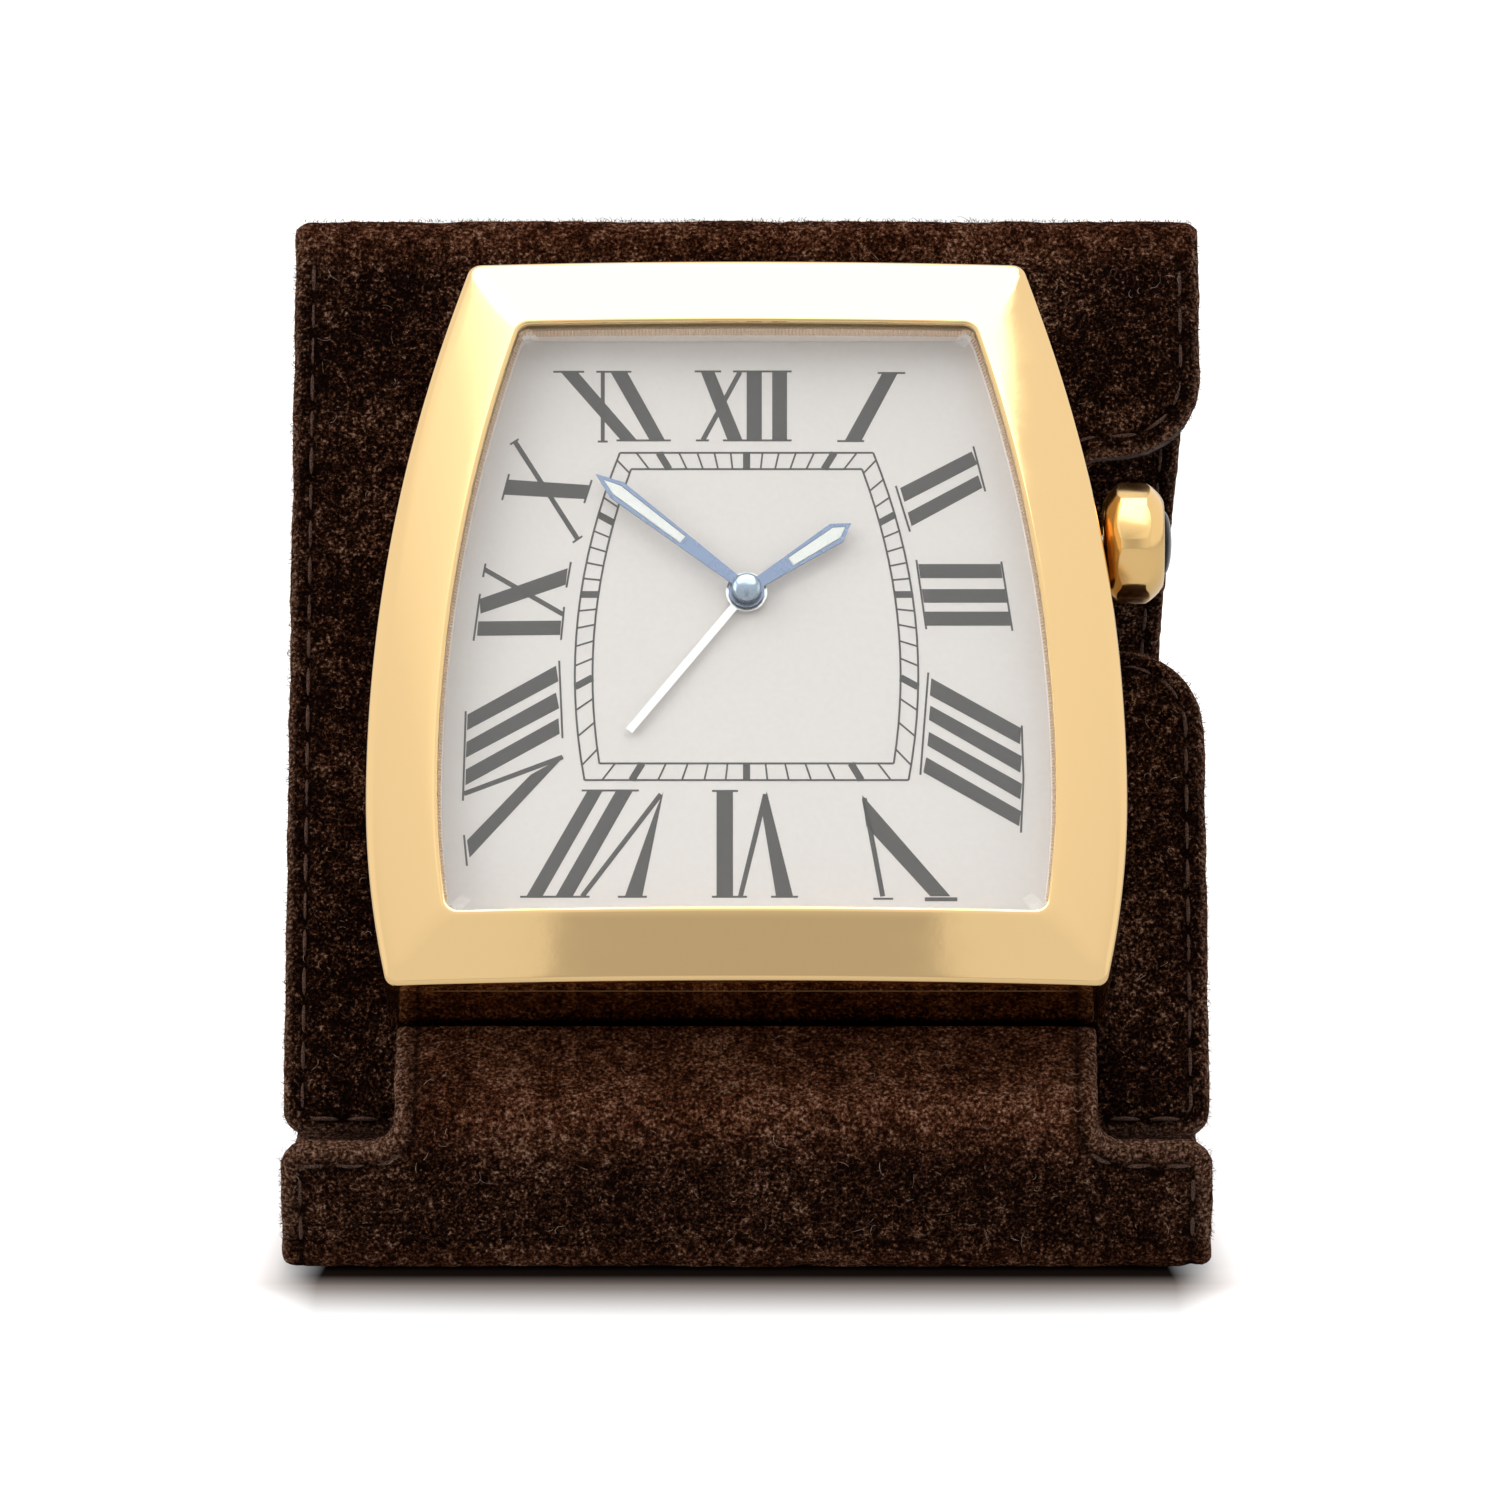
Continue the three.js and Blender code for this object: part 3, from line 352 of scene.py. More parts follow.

# %% [markdown]
# Suede is the flesh side of the hide, sanded until its fibres stand up as nap. The eye gets a
# matt, deep brown that turns lighter at grazing angles, with patches where the nap lies another
# way and single loose fibres that catch the light. So the colour mixes three sizes of mottling, the
# bump is as fine as the nap, and sheen brightens the grazing parts. The mesh carries how near a
# point is to a fold, where the hide is paler, partly from wear and partly as a painted highlight
# where the folds and the tab face up to the light; to a seam, which is drawn in, with painted shade
# darkening its groove; to the frayed cut edge; and to the one edge that is sealed with grey paint.

# %% Suede
NAP_MM = 0.38
SWIRL_MM = 1.6
PATCH_MM = 11.0


def suede_finish(name, bump_depth):
    """Napped suede: dark pits and pale tips, folds paler from wear and painted highlight, rough cut
    edges, drawn-in seams darkened by painted shade.
    """
    material, tree = new_material(name)
    nap = grain(tree, NAP_MM, 4, 0.7)
    swirl = grain(tree, SWIRL_MM, 4, 0.65)
    patch = grain(tree, PATCH_MM, 2)
    mottle = add(tree, "ShaderNodeMath", {
        0: add(tree, "ShaderNodeMapRange", {
            "Value": nap, "From Min": 0.27, "From Max": 0.73}).outputs["Result"],
        1: add(tree, "ShaderNodeMapRange", {
            "Value": swirl, "From Min": 0.3, "From Max": 0.7, "To Min": -0.17, "To Max": 0.17,
        }).outputs["Result"]}, operation="ADD").outputs[0]
    mottle = add(tree, "ShaderNodeMath", {
        0: mottle,
        1: add(tree, "ShaderNodeMapRange", {
            "Value": patch, "From Min": 0.3, "From Max": 0.7, "To Min": -0.09, "To Max": 0.09,
        }).outputs["Result"]}, operation="ADD").outputs[0]
    brown = ramp(tree, mottle, (0.34, "#080100"), (0.50, "#200f08"), (0.62, "#3e2418"),
                 (0.75, "#6c4936"), (0.96, "#b8957e"))
    worn_and_highlight = ramp(tree, mottle, (0.26, "#1c0804"), (0.48, "#4a2716"), (0.68, "#82543c"),
                (0.95, "#c9a28a"))
    frayed = ramp(tree, nap, (0.36, "#20100a"), (0.48, "#5c3826"), (0.64, "#c39d86"))
    painted = ramp(tree, swirl, (0.35, "#4d4847"), (0.65, "#7c7676"))
    # Painted light in the colour: near the folds and over the tab it turns paler, partly wear and partly
    # a painted highlight on faces turned up to the light; along each seam it turns nearly black, painted
    # shade in the groove.
    colour = brown
    for place, other in (("wear_and_painted_highlight", worn_and_highlight), ("seam", linear("#080201")), ("cut_edge", frayed),
                         ("edge_paint", painted)):
        share = add(tree, "ShaderNodeAttribute", attribute_name=place).outputs["Fac"]
        colour = add(tree, "ShaderNodeMix", {0: share, 6: colour, 7: other}, data_type="RGBA").outputs[2]
    relief = add(tree, "ShaderNodeBump", {
        "Height": swirl, "Distance": 1.6 * bump_depth * MM,
        "Normal": add(tree, "ShaderNodeBump", {
            "Height": nap, "Distance": bump_depth * MM}).outputs["Normal"]}).outputs["Normal"]
    finish_material(tree, add(tree, "ShaderNodeBsdfPrincipled", {
        "Base Color": colour, "Roughness": 0.95, "Normal": relief, "Specular IOR Level": 0.03,
        "Sheen Weight": 0.02, "Sheen Roughness": 0.5, "Sheen Tint": linear("#b5704f")}))
    return material


suede = suede_finish("dark brown calf suede", 0.7)
print("suede", suede.name)

# %% [markdown]
# The case is brass, polished to a mirror and gold plated. Its colour comes from the gold alone, so
# it is a metal with a warm base colour and almost no roughness. Years of wiping leave hairlines,
# which are too fine to draw one by one, so a stretched noise bends the reflections very slightly.

# %% Gilt
def metal(name, colour, roughness, wear_mm, wear_depth, stretch=(1, 1, 1), spread=0.05):
    """A polished or brushed metal whose surface waves a little, with uneven gloss."""
    material, tree = new_material(name)
    wave = grain(tree, wear_mm, 3, 0.55, stretch)
    gloss = add(tree, "ShaderNodeMapRange", {
        "Value": grain(tree, 3 * wear_mm, 2), "From Min": 0.3, "From Max": 0.7, "To Min": roughness,
        "To Max": roughness + spread}).outputs["Result"]
    finish_material(tree, add(tree, "ShaderNodeBsdfPrincipled", {
        "Base Color": linear(colour), "Metallic": 1.0, "Roughness": gloss,
        "Normal": add(tree, "ShaderNodeBump", {
            "Height": wave, "Distance": wear_depth * MM}).outputs["Normal"]}))
    return material


gilt = metal("polished gold plate on brass", "#f4d096", 0.05, 1.1, 0.0012, spread=0.03)
steel = metal("bead-blasted stainless steel", "#b9bbbe", 0.38, 0.15, 0.004)
brass = metal("milled brass", "#c9a765", 0.30, 0.12, 0.003, (1, 6, 1))
blued = metal("light blue lacquered steel", "#7c8ba7", 0.26, 0.6, 0.002)
# Painted shade: the case wall under the bezel gets a darker gold than the bezel, standing in for the
# shade below the bezel.
painted_shade_gilt = metal("polished gold plate, painted shade", "#b08e5c", 0.06, 1.1, 0.0012, spread=0.03)
crown_gilt = metal("polished gold plate, handled", "#f2c987", 0.15, 0.9, 0.002, spread=0.04)
pale_blue = metal("polished blued cap", "#9fafc0", 0.12, 0.6, 0.001)
silver = metal("polished nickel silver", "#f1f0ee", 0.18, 0.5, 0.002)
copper = metal("enamelled copper winding", "#b3662f", 0.30, 0.09, 0.02, (9, 1, 1))
print("nine metals")

# %% [markdown]
# The dial is a brass plate under off-white lacquer, with the figures printed in dark grey ink.
# Plastics are moulded with a fine spark-eroded texture. The stone in the crown is polished onyx.

# %% Lacquer, ink, stone, plastics
def coated(name, colour, shade, roughness, size_mm, depth_mm, coat=0.0, gloss=0.5):
    """A lacquer, ink, stone or plastic: two close tones, a fine texture, and maybe a clear coat."""
    material, tree = new_material(name)
    speck = grain(tree, size_mm, 2)
    tone = ramp(tree, speck, (0.35, shade), (0.65, colour))
    finish_material(tree, add(tree, "ShaderNodeBsdfPrincipled", {
        "Base Color": tone, "Roughness": roughness,
        "Normal": add(tree, "ShaderNodeBump", {
            "Height": speck, "Distance": depth_mm * MM}).outputs["Normal"],
        "Coat Weight": coat, "Coat Roughness": 0.1, "IOR": 1.5, "Specular IOR Level": gloss}))
    return material


dial_lacquer = coated("off-white dial lacquer", "#e6dedb", "#e3dbd8", 0.45, 0.5, 0.0005)
# Painted light: the reflector wall faces down and away from the lamps at the top, so its lacquer is paler
# than the dial's to lift it out of shade.
painted_light_lacquer = coated("pale reflector lacquer", "#fff0e6", "#fae9de", 0.45, 0.5, 0.0005)
ink = coated("dark grey printing ink", "#484441", "#3f3b39", 0.55, 0.12, 0.004)
lume = coated("white luminous paint", "#f6f6f3", "#eeeeea", 0.7, 0.15, 0.01)
onyx = coated("polished black onyx", "#0c0c10", "#060608", 0.12, 2.0, 0.0005, gloss=0.2)
black_plastic = coated("moulded black polycarbonate", "#1d1d1f", "#17171a", 0.5, 0.1, 0.006)
white_plastic = coated("moulded white acetal", "#dcdad3", "#d2d0c9", 0.45, 0.1, 0.006)
circuit = coated("solder-masked glass laminate", "#2e6240", "#25543a", 0.35, 0.4, 0.004, 0.3)
gasket_finish = coated("moulded cream nylon", "#c9a980", "#b8966b", 0.45, 0.15, 0.006)
thread_finish = coated("dyed polyester thread", "#72584d", "#1c100c", 0.8, 0.12, 0.03, gloss=0.06)
fibre_finish = coated("standing suede fibre", "#6a4836", "#1c0d07", 0.85, 0.6, 0.0005, gloss=0.05)
lint_finish = coated("pale loose fibre", "#c9b3a4", "#6f5443", 0.85, 0.9, 0.0005, gloss=0.1)
print("coated materials")

# %% [markdown]
# The glass is clear mineral glass, ground and polished. Shadow rays pass through it, because the
# render would otherwise leave the dial dark for want of light bent through both faces.

# %% Glass
glass, tree = new_material("polished mineral glass")
faint = grain(tree, 14, 1)
solid_glass = add(tree, "ShaderNodeBsdfPrincipled", {
    "Base Color": linear("#fbfdfc"), "Roughness": 0.0, "IOR": 1.5, "Transmission Weight": 1.0,
    "Normal": add(tree, "ShaderNodeBump", {"Height": faint, "Distance": 0.003 * MM}).outputs["Normal"]})
clear = add(tree, "ShaderNodeBsdfTransparent", {"Color": linear("#f6f8f7")})
shadow = add(tree, "ShaderNodeLightPath").outputs["Is Shadow Ray"]
finish_material(tree, add(tree, "ShaderNodeMixShader", {
    0: shadow, 1: solid_glass.outputs[0], 2: clear.outputs[0]}))
print("glass", glass.name)

# %% [markdown]
# Most pieces are made the same way: a flat grid is laid, row by row, on outlines of the real
# piece, its first and last columns are welded, and open ends are filled. It is how a pattern maker
# wraps a sheet round a former, and it keeps the points evenly spaced where the outline curves.

# %% Laying and welding
WELD = 2e-6


def lay(mesh, points):
    """Puts a mesh's vertices on points."""
    mesh.vertices.foreach_set("co", np.asarray(points, float).reshape(-1))
    mesh.update()


def select(*objects):
    """Selects these objects alone. The first becomes the active one."""
    bpy.ops.object.select_all(action="DESELECT")
    for obj in objects:
        obj.select_set(True)
    bpy.context.view_layer.objects.active = objects[0]


def edit(obj):
    """Enters edit mode on one object with everything in it selected."""
    select(obj)
    bpy.ops.object.mode_set(mode="EDIT")
    bpy.ops.mesh.select_all(action="SELECT")


def leave_outward():
    """Turns every face outward and leaves edit mode."""
    bpy.ops.mesh.select_all(action="SELECT")
    bpy.ops.mesh.normals_make_consistent(inside=False)
    bpy.ops.object.mode_set(mode="OBJECT")


def thicken(obj, way):
    """Pulls a flat shape out into a solid."""
    edit(obj)
    bpy.ops.mesh.extrude_region_move(TRANSFORM_OT_translate={"value": way})
    leave_outward()


def join(name, parts):
    """Joins objects in one, under a new name."""
    select(*parts)
    bpy.ops.object.join()
    bpy.context.object.name = name
    return bpy.context.object


def wrap(name, rows, round_rows=False):
    """A closed surface through rows of points. Each row is a closed outline."""
    rows = np.asarray(rows, float)
    rows = np.concatenate([rows, rows[:, :1]], axis=1)
    if round_rows:
        rows = np.concatenate([rows, rows[:1]])
    bpy.ops.object.select_all(action="DESELECT")
    bpy.ops.mesh.primitive_grid_add(x_subdivisions=rows.shape[1] - 1, y_subdivisions=rows.shape[0] - 1)
    made = bpy.context.object
    made.name = name
    made.matrix_world.identity()
    if len(made.data.vertices) != rows.shape[0] * rows.shape[1]:
        raise ValueError(f"{name}: the grid has {len(made.data.vertices)} points")
    lay(made.data, rows)
    edit(made)
    bpy.ops.mesh.remove_doubles(threshold=WELD)
    if not round_rows:
        bpy.ops.mesh.select_all(action="SELECT")
        bpy.ops.mesh.fill_holes(sides=0)
    leave_outward()
    return made


def finish_piece(piece, material, body, slot, *nodes, smooth_deg=None):
    """Gives a piece its finish and its body, and hides the frame nodes that it stands for. The slot is
    not used.
    """
    piece.data.materials.clear()
    piece.data.materials.append(material)
    select(piece)
    if smooth_deg is None:
        bpy.ops.object.shade_flat()
    elif smooth_deg >= 180:
        bpy.ops.object.shade_smooth()
    else:
        bpy.ops.object.shade_smooth_by_angle(angle=math.radians(smooth_deg))
    if body:
        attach(piece, body)
    if nodes:
        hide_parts(*nodes)
    print(piece.name, len(piece.data.polygons), "faces")


# %% [markdown]
# The case outline is a barrel: straight at top and bottom, its sides bowed by two arcs that meet
# at the waist, its corners eased. Every ring of the clock is that outline, drawn in by an inset,
# and the front is cambered: it falls away to both sides like a slice of a large cylinder.

# %% Barrel outline
CASE_LOW, CASE_HIGH, CASE_HALF, CASE_WAIST = 7.6, 88.2, 39.8, 29.3
UPPER_ARC, LOWER_ARC, CASE_CORNER, CAMBER = 170.0, 98.0, 1.5, 380.0
EDGE_STEPS, CORNER_STEPS, LOW_STEPS, SIDE_STEPS = 12, 8, 16, 44


def half_barrel(inset, corner):
    """The right half of the outline, from the middle of the bottom to the middle of the top."""
    low, high = CASE_LOW + inset, CASE_HIGH - inset
    low_x, high_x = CASE_HALF - LOWER_ARC, CASE_HALF - UPPER_ARC
    low_r, high_r = LOWER_ARC - inset, UPPER_ARC - inset
    low_rise, high_rise = CASE_WAIST - low - corner, high - corner - CASE_WAIST
    low_c = low_x + math.sqrt((low_r - corner) ** 2 - low_rise ** 2)
    high_c = high_x + math.sqrt((high_r - corner) ** 2 - high_rise ** 2)
    low_turn = math.atan2(low_rise, low_c - low_x)
    high_turn = math.atan2(high_rise, high_c - high_x)
    right = math.pi / 2
    points = [(low_c * i / EDGE_STEPS, low) for i in range(EDGE_STEPS)]
    for i in range(CORNER_STEPS + 1):
        a = -right + (right - low_turn) * i / CORNER_STEPS
        points.append((low_c + corner * math.cos(a), low + corner * (1 + math.sin(a))))
    for i in range(1, LOW_STEPS + 1):
        a = low_turn * (i / LOW_STEPS - 1)
        points.append((low_x + low_r * math.cos(a), CASE_WAIST + low_r * math.sin(a)))
    for i in range(1, SIDE_STEPS):
        a = high_turn * i / SIDE_STEPS
        points.append((high_x + high_r * math.cos(a), CASE_WAIST + high_r * math.sin(a)))
    for i in range(CORNER_STEPS + 1):
        a = high_turn + (right - high_turn) * i / CORNER_STEPS
        points.append((high_c + corner * math.cos(a), high - corner * (1 - math.sin(a))))
    points += [(high_c * (1 - i / EDGE_STEPS), high) for i in range(1, EDGE_STEPS + 1)]
    return points


def mirror(path):
    """The other side of a symmetrical outline, in the order that closes it."""
    return [(-x, y) for x, y in reversed(path)]


def barrel(inset, corner=CASE_CORNER):
    """The whole outline."""
    right = half_barrel(inset, corner)
    return right + mirror(right[1:-1])


def barrel_rows(profile, soften=0.0):
    """Rows of points in the scene, one for each (inset, height, share of the camber). Softened
    corners are rounder half way across a band, so that polish seems to have eased the mitre."""
    across = max(inset for inset, _, _ in profile)
    rows = []
    for inset, height, share in profile:
        corner = CASE_CORNER + soften * math.sin(math.pi * inset / across)
        rows.append([
            on_panel(x, y, height - share * x * x / (2 * CAMBER)) for x, y in barrel(inset, corner)])
    return rows


print("outline points", len(barrel(0)))

# %% [markdown]
# The bezel is one solid bar of brass, bent to the barrel and polished: upright outside, rounded
# over a small shoulder, rising in a shallow crown to the lip that holds the glass.

# %% Bezel and case wall
BAND = 7.6
bezel_profile = [
    (0, 13.9, 0), (0, 14.3, 0.3), (0, 16.5, 1), (0.02, 16.95, 1), (0.08, 17.2, 1),
    (0.2, 17.4, 1), (0.4, 17.56, 1), (0.8, 17.7, 1), (1.8, 17.93, 1), (2.8, 18.14, 1),
    (3.9, 18.37, 1), (5.1, 18.6, 1), (6.2, 18.8, 1), (7.0, 18.93, 1), (BAND - 0.25, 18.97, 1),
    (BAND - 0.1, 18.94, 1), (BAND - 0.03, 18.86, 1), (BAND, 18.7, 1), (BAND, 18.34, 1),
    (BAND - 0.04, 18.3, 1), (BAND - 0.86, 18.3, 1), (BAND - 0.9, 18.26, 1),
    (BAND - 0.9, 14.3, 0.3), (BAND - 0.9, 13.9, 0)]
bezel = wrap("bezel_polished", barrel_rows(bezel_profile, soften=0.8), round_rows=True)
finish_piece(bezel, gilt, "holder", "gilt", "bezel", smooth_deg=40)

wall_profile = [
    (0.25, 0.3, 0), (0.04, 0.42, 0), (0, 0.6, 0), (0, 13.5, 0), (0.04, 13.7, 0), (0.25, 13.8, 0),
    (2.2, 13.8, 0), (2.2, 2.8, 0), (6.4, 2.8, 0), (6.4, 1.8, 0), (2.2, 1.8, 0), (2.2, 0.3, 0)]
case_wall = wrap("case_wall_polished", barrel_rows(wall_profile), round_rows=True)
finish_piece(case_wall, painted_shade_gilt, "holder", "gilt", "case_wall", smooth_deg=40)

# %% [markdown]
# A board of the stand is two layers of suede over a stiffener, sewn together near their edge. A
# folded hinge is the same two layers without the stiffener. The maker cuts and sews it flat, then
# bends it. The lesson does so too: an outline is filled and given its thickness, its edges are
# rounded, a voxel remesh spreads fine even faces over it, two displacements give the hide its
# swell and pebble, the seam line is drawn in with a dimple at each stitch, and the flat piece is
# then bent round its folds by one function that says where each flat point goes.

# %% Flat work
VOXEL_MM = 0.6
BOARD = 3.2
SEAM_INSET = 2.1
STITCH_PITCH = 4.2
GROOVE_DEEP, GROOVE_WIDE = 0.5, 0.6
EDGE_THIN, EDGE_REACH, EDGE_ROUND, SEAM_PAINTED_SHADE = 0.28, 3.2, 0.9, 0.55
FAR = 1e9


def cloud(name, size_mm):
    """A noise texture for a displacement."""
    texture = bpy.data.textures.new(name, "CLOUDS")
    texture.noise_scale = size_mm * MM
    texture.noise_depth = 2
    return texture


swell, pebble = cloud("hide_swell", 5.0), cloud("hide_pebble", 1.1)


def modify(obj, kind, **settings):
    """Adds a modifier, sets it, and applies it."""
    bpy.context.view_layer.objects.active = obj
    bpy.ops.object.modifier_add(type=kind)
    modifier = obj.modifiers[-1]
    for key, value in settings.items():
        setattr(modifier, key, value)
    bpy.ops.object.modifier_apply(modifier=modifier.name)


def points_of(obj):
    """A mesh's vertices as an array."""
    flat = np.empty(len(obj.data.vertices) * 3)
    obj.data.vertices.foreach_get("co", flat)
    return flat.reshape(-1, 3)


def to_outline(points, outline, closed=True, raw_rows=()):
    """For each flat point: its distance to the outline, and how far round the nearest place is.
    Sides that lie on a raw row don't count."""
    corners = np.asarray(outline, float)
    ends = np.roll(corners, -1, axis=0) if closed else corners[1:]
    starts = corners if closed else corners[:-1]
    best = np.full(len(points), FAR)
    around = np.zeros(len(points))
    run = 0.0
    for start, end in zip(starts, ends):
        edge = end - start
        length = math.hypot(*edge)
        if any(start[1] == row and end[1] == row for row in raw_rows):
            run += length
            continue
        share = np.clip((points - start) @ edge / length ** 2, 0, 1)
        distance = np.hypot(*(points - start - share[:, None] * edge).T)
        nearer = distance < best
        best[nearer] = distance[nearer]
        around[nearer] = run + share[nearer] * length
        run += length
    return best, around


def mark(board, name, values):
    """Stores one number for each vertex under a name that materials can read."""
    attribute = board.data.attributes.new(name, "FLOAT", "POINT")
    attribute.data.foreach_set("value", np.asarray(values, np.float32))


def flat_board(name, outline, low, high, seams, raw_rows=(), rubbed=0.9, recesses=()):
    """A soft slab in flat millimetres, as metres: x across, y along, z through. Seams are open
    paths beside the edge. Raw rows are ends that run on into the next piece, left square. Recesses
    are (x, y, radius, floor) pockets in the low face."""
    bpy.ops.object.select_all(action="DESELECT")
    bpy.ops.mesh.primitive_circle_add(vertices=len(outline), radius=0.1, fill_type="NGON")
    board = bpy.context.object
    board.name = name
    lay(board.data, [(x * MM, y * MM, low * MM) for x, y in outline])
    thicken(board, (0, 0, (high - low) * MM))
    bpy.ops.object.mode_set(mode="EDIT")
    bpy.ops.mesh.select_mode(type="EDGE")
    bpy.ops.object.mode_set(mode="OBJECT")
    for edge in board.data.edges:
        a, b = (board.data.vertices[i].co for i in edge.vertices)
        rim = abs(a.z - b.z) < 1e-7
        raw = any(abs(a.y - row * MM) < 1e-6 and abs(b.y - row * MM) < 1e-6 for row in raw_rows)
        edge.select = rim and not raw
    bpy.ops.object.mode_set(mode="EDIT")
    bpy.ops.mesh.bevel(offset=EDGE_ROUND * MM, segments=3)
    bpy.ops.mesh.select_mode(type="VERT")
    bpy.ops.object.mode_set(mode="OBJECT")
    modify(board, "REMESH", mode="VOXEL", voxel_size=VOXEL_MM * MM)
    modify(board, "SMOOTH", factor=0.5, iterations=2)
    modify(board, "DISPLACE", texture=swell, strength=0.45 * MM, mid_level=0.6)
    modify(board, "DISPLACE", texture=pebble, strength=0.2 * MM, mid_level=0.62)
    points = points_of(board) / MM
    middle = (low + high) / 2
    side = np.sign(points[:, 2] - middle)
    facing = np.clip(np.abs(points[:, 2] - middle) / ((high - low) / 2), 0, 1) ** 2
    reach = np.full(len(points), FAR)
    sink = np.zeros(len(points))
    for seam in seams:
        distance, around = to_outline(points[:, :2], seam, closed=False)
        pull = 0.55 + 0.45 * np.cos(2 * np.pi * around / STITCH_PITCH)
        sink = np.maximum(sink, GROOVE_DEEP * pull * np.exp(-(distance / GROOVE_WIDE) ** 2))
        reach = np.minimum(reach, distance)
    rim, _ = to_outline(points[:, :2], outline, raw_rows=raw_rows)
    thin = EDGE_THIN * np.clip(1 - rim / EDGE_REACH, 0, 1) ** 2
    points[:, 2] -= side * facing * (sink + thin)
    for x, y, radius, floor_level in recesses:
        pocket = (np.hypot(points[:, 0] - x, points[:, 1] - y) < radius) & (side < 0)
        points[pocket, 2] = floor_level
    lay(board.data, points * MM)
    mark(board, "cut_edge", np.clip(1 - rim / rubbed, 0, 1))
    # Painted shade: the colour darkens in the groove along each seam.
    mark(board, "seam", 0.8 * np.exp(-(reach / SEAM_PAINTED_SHADE) ** 2))
    return board


def inset_path(outline, inset):
    """An open path drawn in from its outline by an inset, to the left of its direction."""
    corners = np.asarray(outline, float)
    ways = corners[1:] - corners[:-1]
    ways /= np.hypot(*ways.T)[:, None]
    sides = np.stack([-ways[:, 1], ways[:, 0]], axis=1)
    path = [corners[0] + sides[0] * inset]
    for i in range(1, len(corners) - 1):
        both = sides[i - 1] + sides[i]
        path.append(corners[i] + both * inset / max(0.5 * (both @ both), 0.3))
    path.append(corners[-1] + sides[-1] * inset)
    return [tuple(point) for point in path]


def arc(cx, cy, radius, start, end, steps=8):
    """Points of an arc, in degrees."""
    turns = [math.radians(start + (end - start) * i / steps) for i in range(steps + 1)]
    return [(cx + radius * math.cos(a), cy + radius * math.sin(a)) for a in turns]


def bend(board, place):
    """Moves a flat piece's points to their places in the scene, and keeps its faces outward."""
    lay(board.data, [place(*point) for point in points_of(board) / MM])
    edit(board)
    leave_outward()


print("flat work ready")

# %% [markdown]
# A stitch is a short length of thread that rises out of one hole and dives into the next. It is
# modelled once, as a slim sphere bowed down at both ends, and copied along each seam.

# %% Stitches
STITCH_LONG, STITCH_THICK, STITCH_BOW, STITCH_SUNK = 3.3, 0.5, 0.3, 0.27
AIM_STEP = 0.05


def sew(name, seam, heights, place, body):
    """Stitches along a seam, on each face height given, joined in one piece."""
    corners = np.asarray(seam, float)
    lengths = np.hypot(*(corners[1:] - corners[:-1]).T)
    ends = np.concatenate([[0], np.cumsum(lengths)])
    made = []

    def spot_at(along):
        return np.array([np.interp(along, ends, corners[:, axis]) for axis in (0, 1)])

    for height, out in heights:
        for middle in np.arange(STITCH_PITCH / 2, ends[-1] - STITCH_LONG / 2, STITCH_PITCH):
            points = []
            bpy.ops.mesh.primitive_uv_sphere_add(segments=8, ring_count=8, radius=0.5)
            stitch = bpy.context.object
            for x, y, z in points_of(stitch):
                along = middle + z * STITCH_LONG
                here = spot_at(along)
                way = spot_at(along + AIM_STEP) - spot_at(along - AIM_STEP)
                way /= max(math.hypot(*way), 1e-9)
                points.append(place(
                    here[0] - way[1] * x * STITCH_THICK, here[1] + way[0] * x * STITCH_THICK,
                    height + out * (y * STITCH_THICK - STITCH_BOW * (2 * z) ** 2)))
            lay(stitch.data, points)
            stitch.matrix_world.identity()
            made.append(stitch)
    row = join(name, made)
    edit(row)
    leave_outward()
    finish_piece(row, thread_finish, body, "fold_suede", smooth_deg=180)


print("stitch pitch", STITCH_PITCH, "mm")

# %% [markdown]
# The panel behind the clock and the fold at its top are one piece of work: the suede runs up the
# panel, over the roll and down to the rear leg. Its right side has a notch with flared corners,
# which leaves room for the crown and a fingertip.

# %% Panel and top fold
HALF_WIDTH, PANEL_HINGE, TOP_RADIUS = 48.65, 97.0, 3.5
CORNER_CUT, NOTCH_MIDDLE, NOTCH_HALF, NOTCH_FLARE, PANEL_DROP = 1.8, 62.0, 11.0, 9.0, 3.2
NOTCH_FLOOR, NOTCH_ROUND = 35.0, 3.0
LEG_DEG, LEG_START, PUFF, PAINT_LEVEL = -70.3, 3.4, 0.55, -1.1
SCREW_POCKETS = [(-20, 50, 2.9, -2.2), (20, 50, 2.9, -2.2)]

leg_along = Vector((0, math.cos(math.radians(LEG_DEG)), math.sin(math.radians(LEG_DEG))))
leg_out = Vector((0, -leg_along.z, leg_along.y))
top_turn = OUT.angle(leg_out)
fold_long = TOP_RADIUS * top_turn
flat_top = PANEL_HINGE + fold_long + LEG_START - 0.1
on_leg = in_frame(TOP_FOLD, leg_along, leg_out)
notch_low, notch_high = NOTCH_MIDDLE - NOTCH_HALF, NOTCH_MIDDLE + NOTCH_HALF
flare_x = HALF_WIDTH - NOTCH_FLARE
panel_foot = [(HALF_WIDTH - CORNER_CUT, -PANEL_DROP), (HALF_WIDTH, CORNER_CUT - PANEL_DROP)]
lower_lobe = arc(flare_x, notch_low - NOTCH_FLARE, NOTCH_FLARE, 0, 90)
notch = [*arc(NOTCH_FLOOR + NOTCH_ROUND, notch_low + NOTCH_ROUND, NOTCH_ROUND, 270, 180),
         *arc(NOTCH_FLOOR + NOTCH_ROUND, notch_high - NOTCH_ROUND, NOTCH_ROUND, 180, 90)]
upper_lobe = arc(flare_x, notch_high + NOTCH_FLARE, NOTCH_FLARE, 270, 360)
right_side = [*panel_foot, *lower_lobe, *notch, *upper_lobe, (HALF_WIDTH, flat_top)]
left_side = [(-HALF_WIDTH, flat_top), *mirror(panel_foot)]


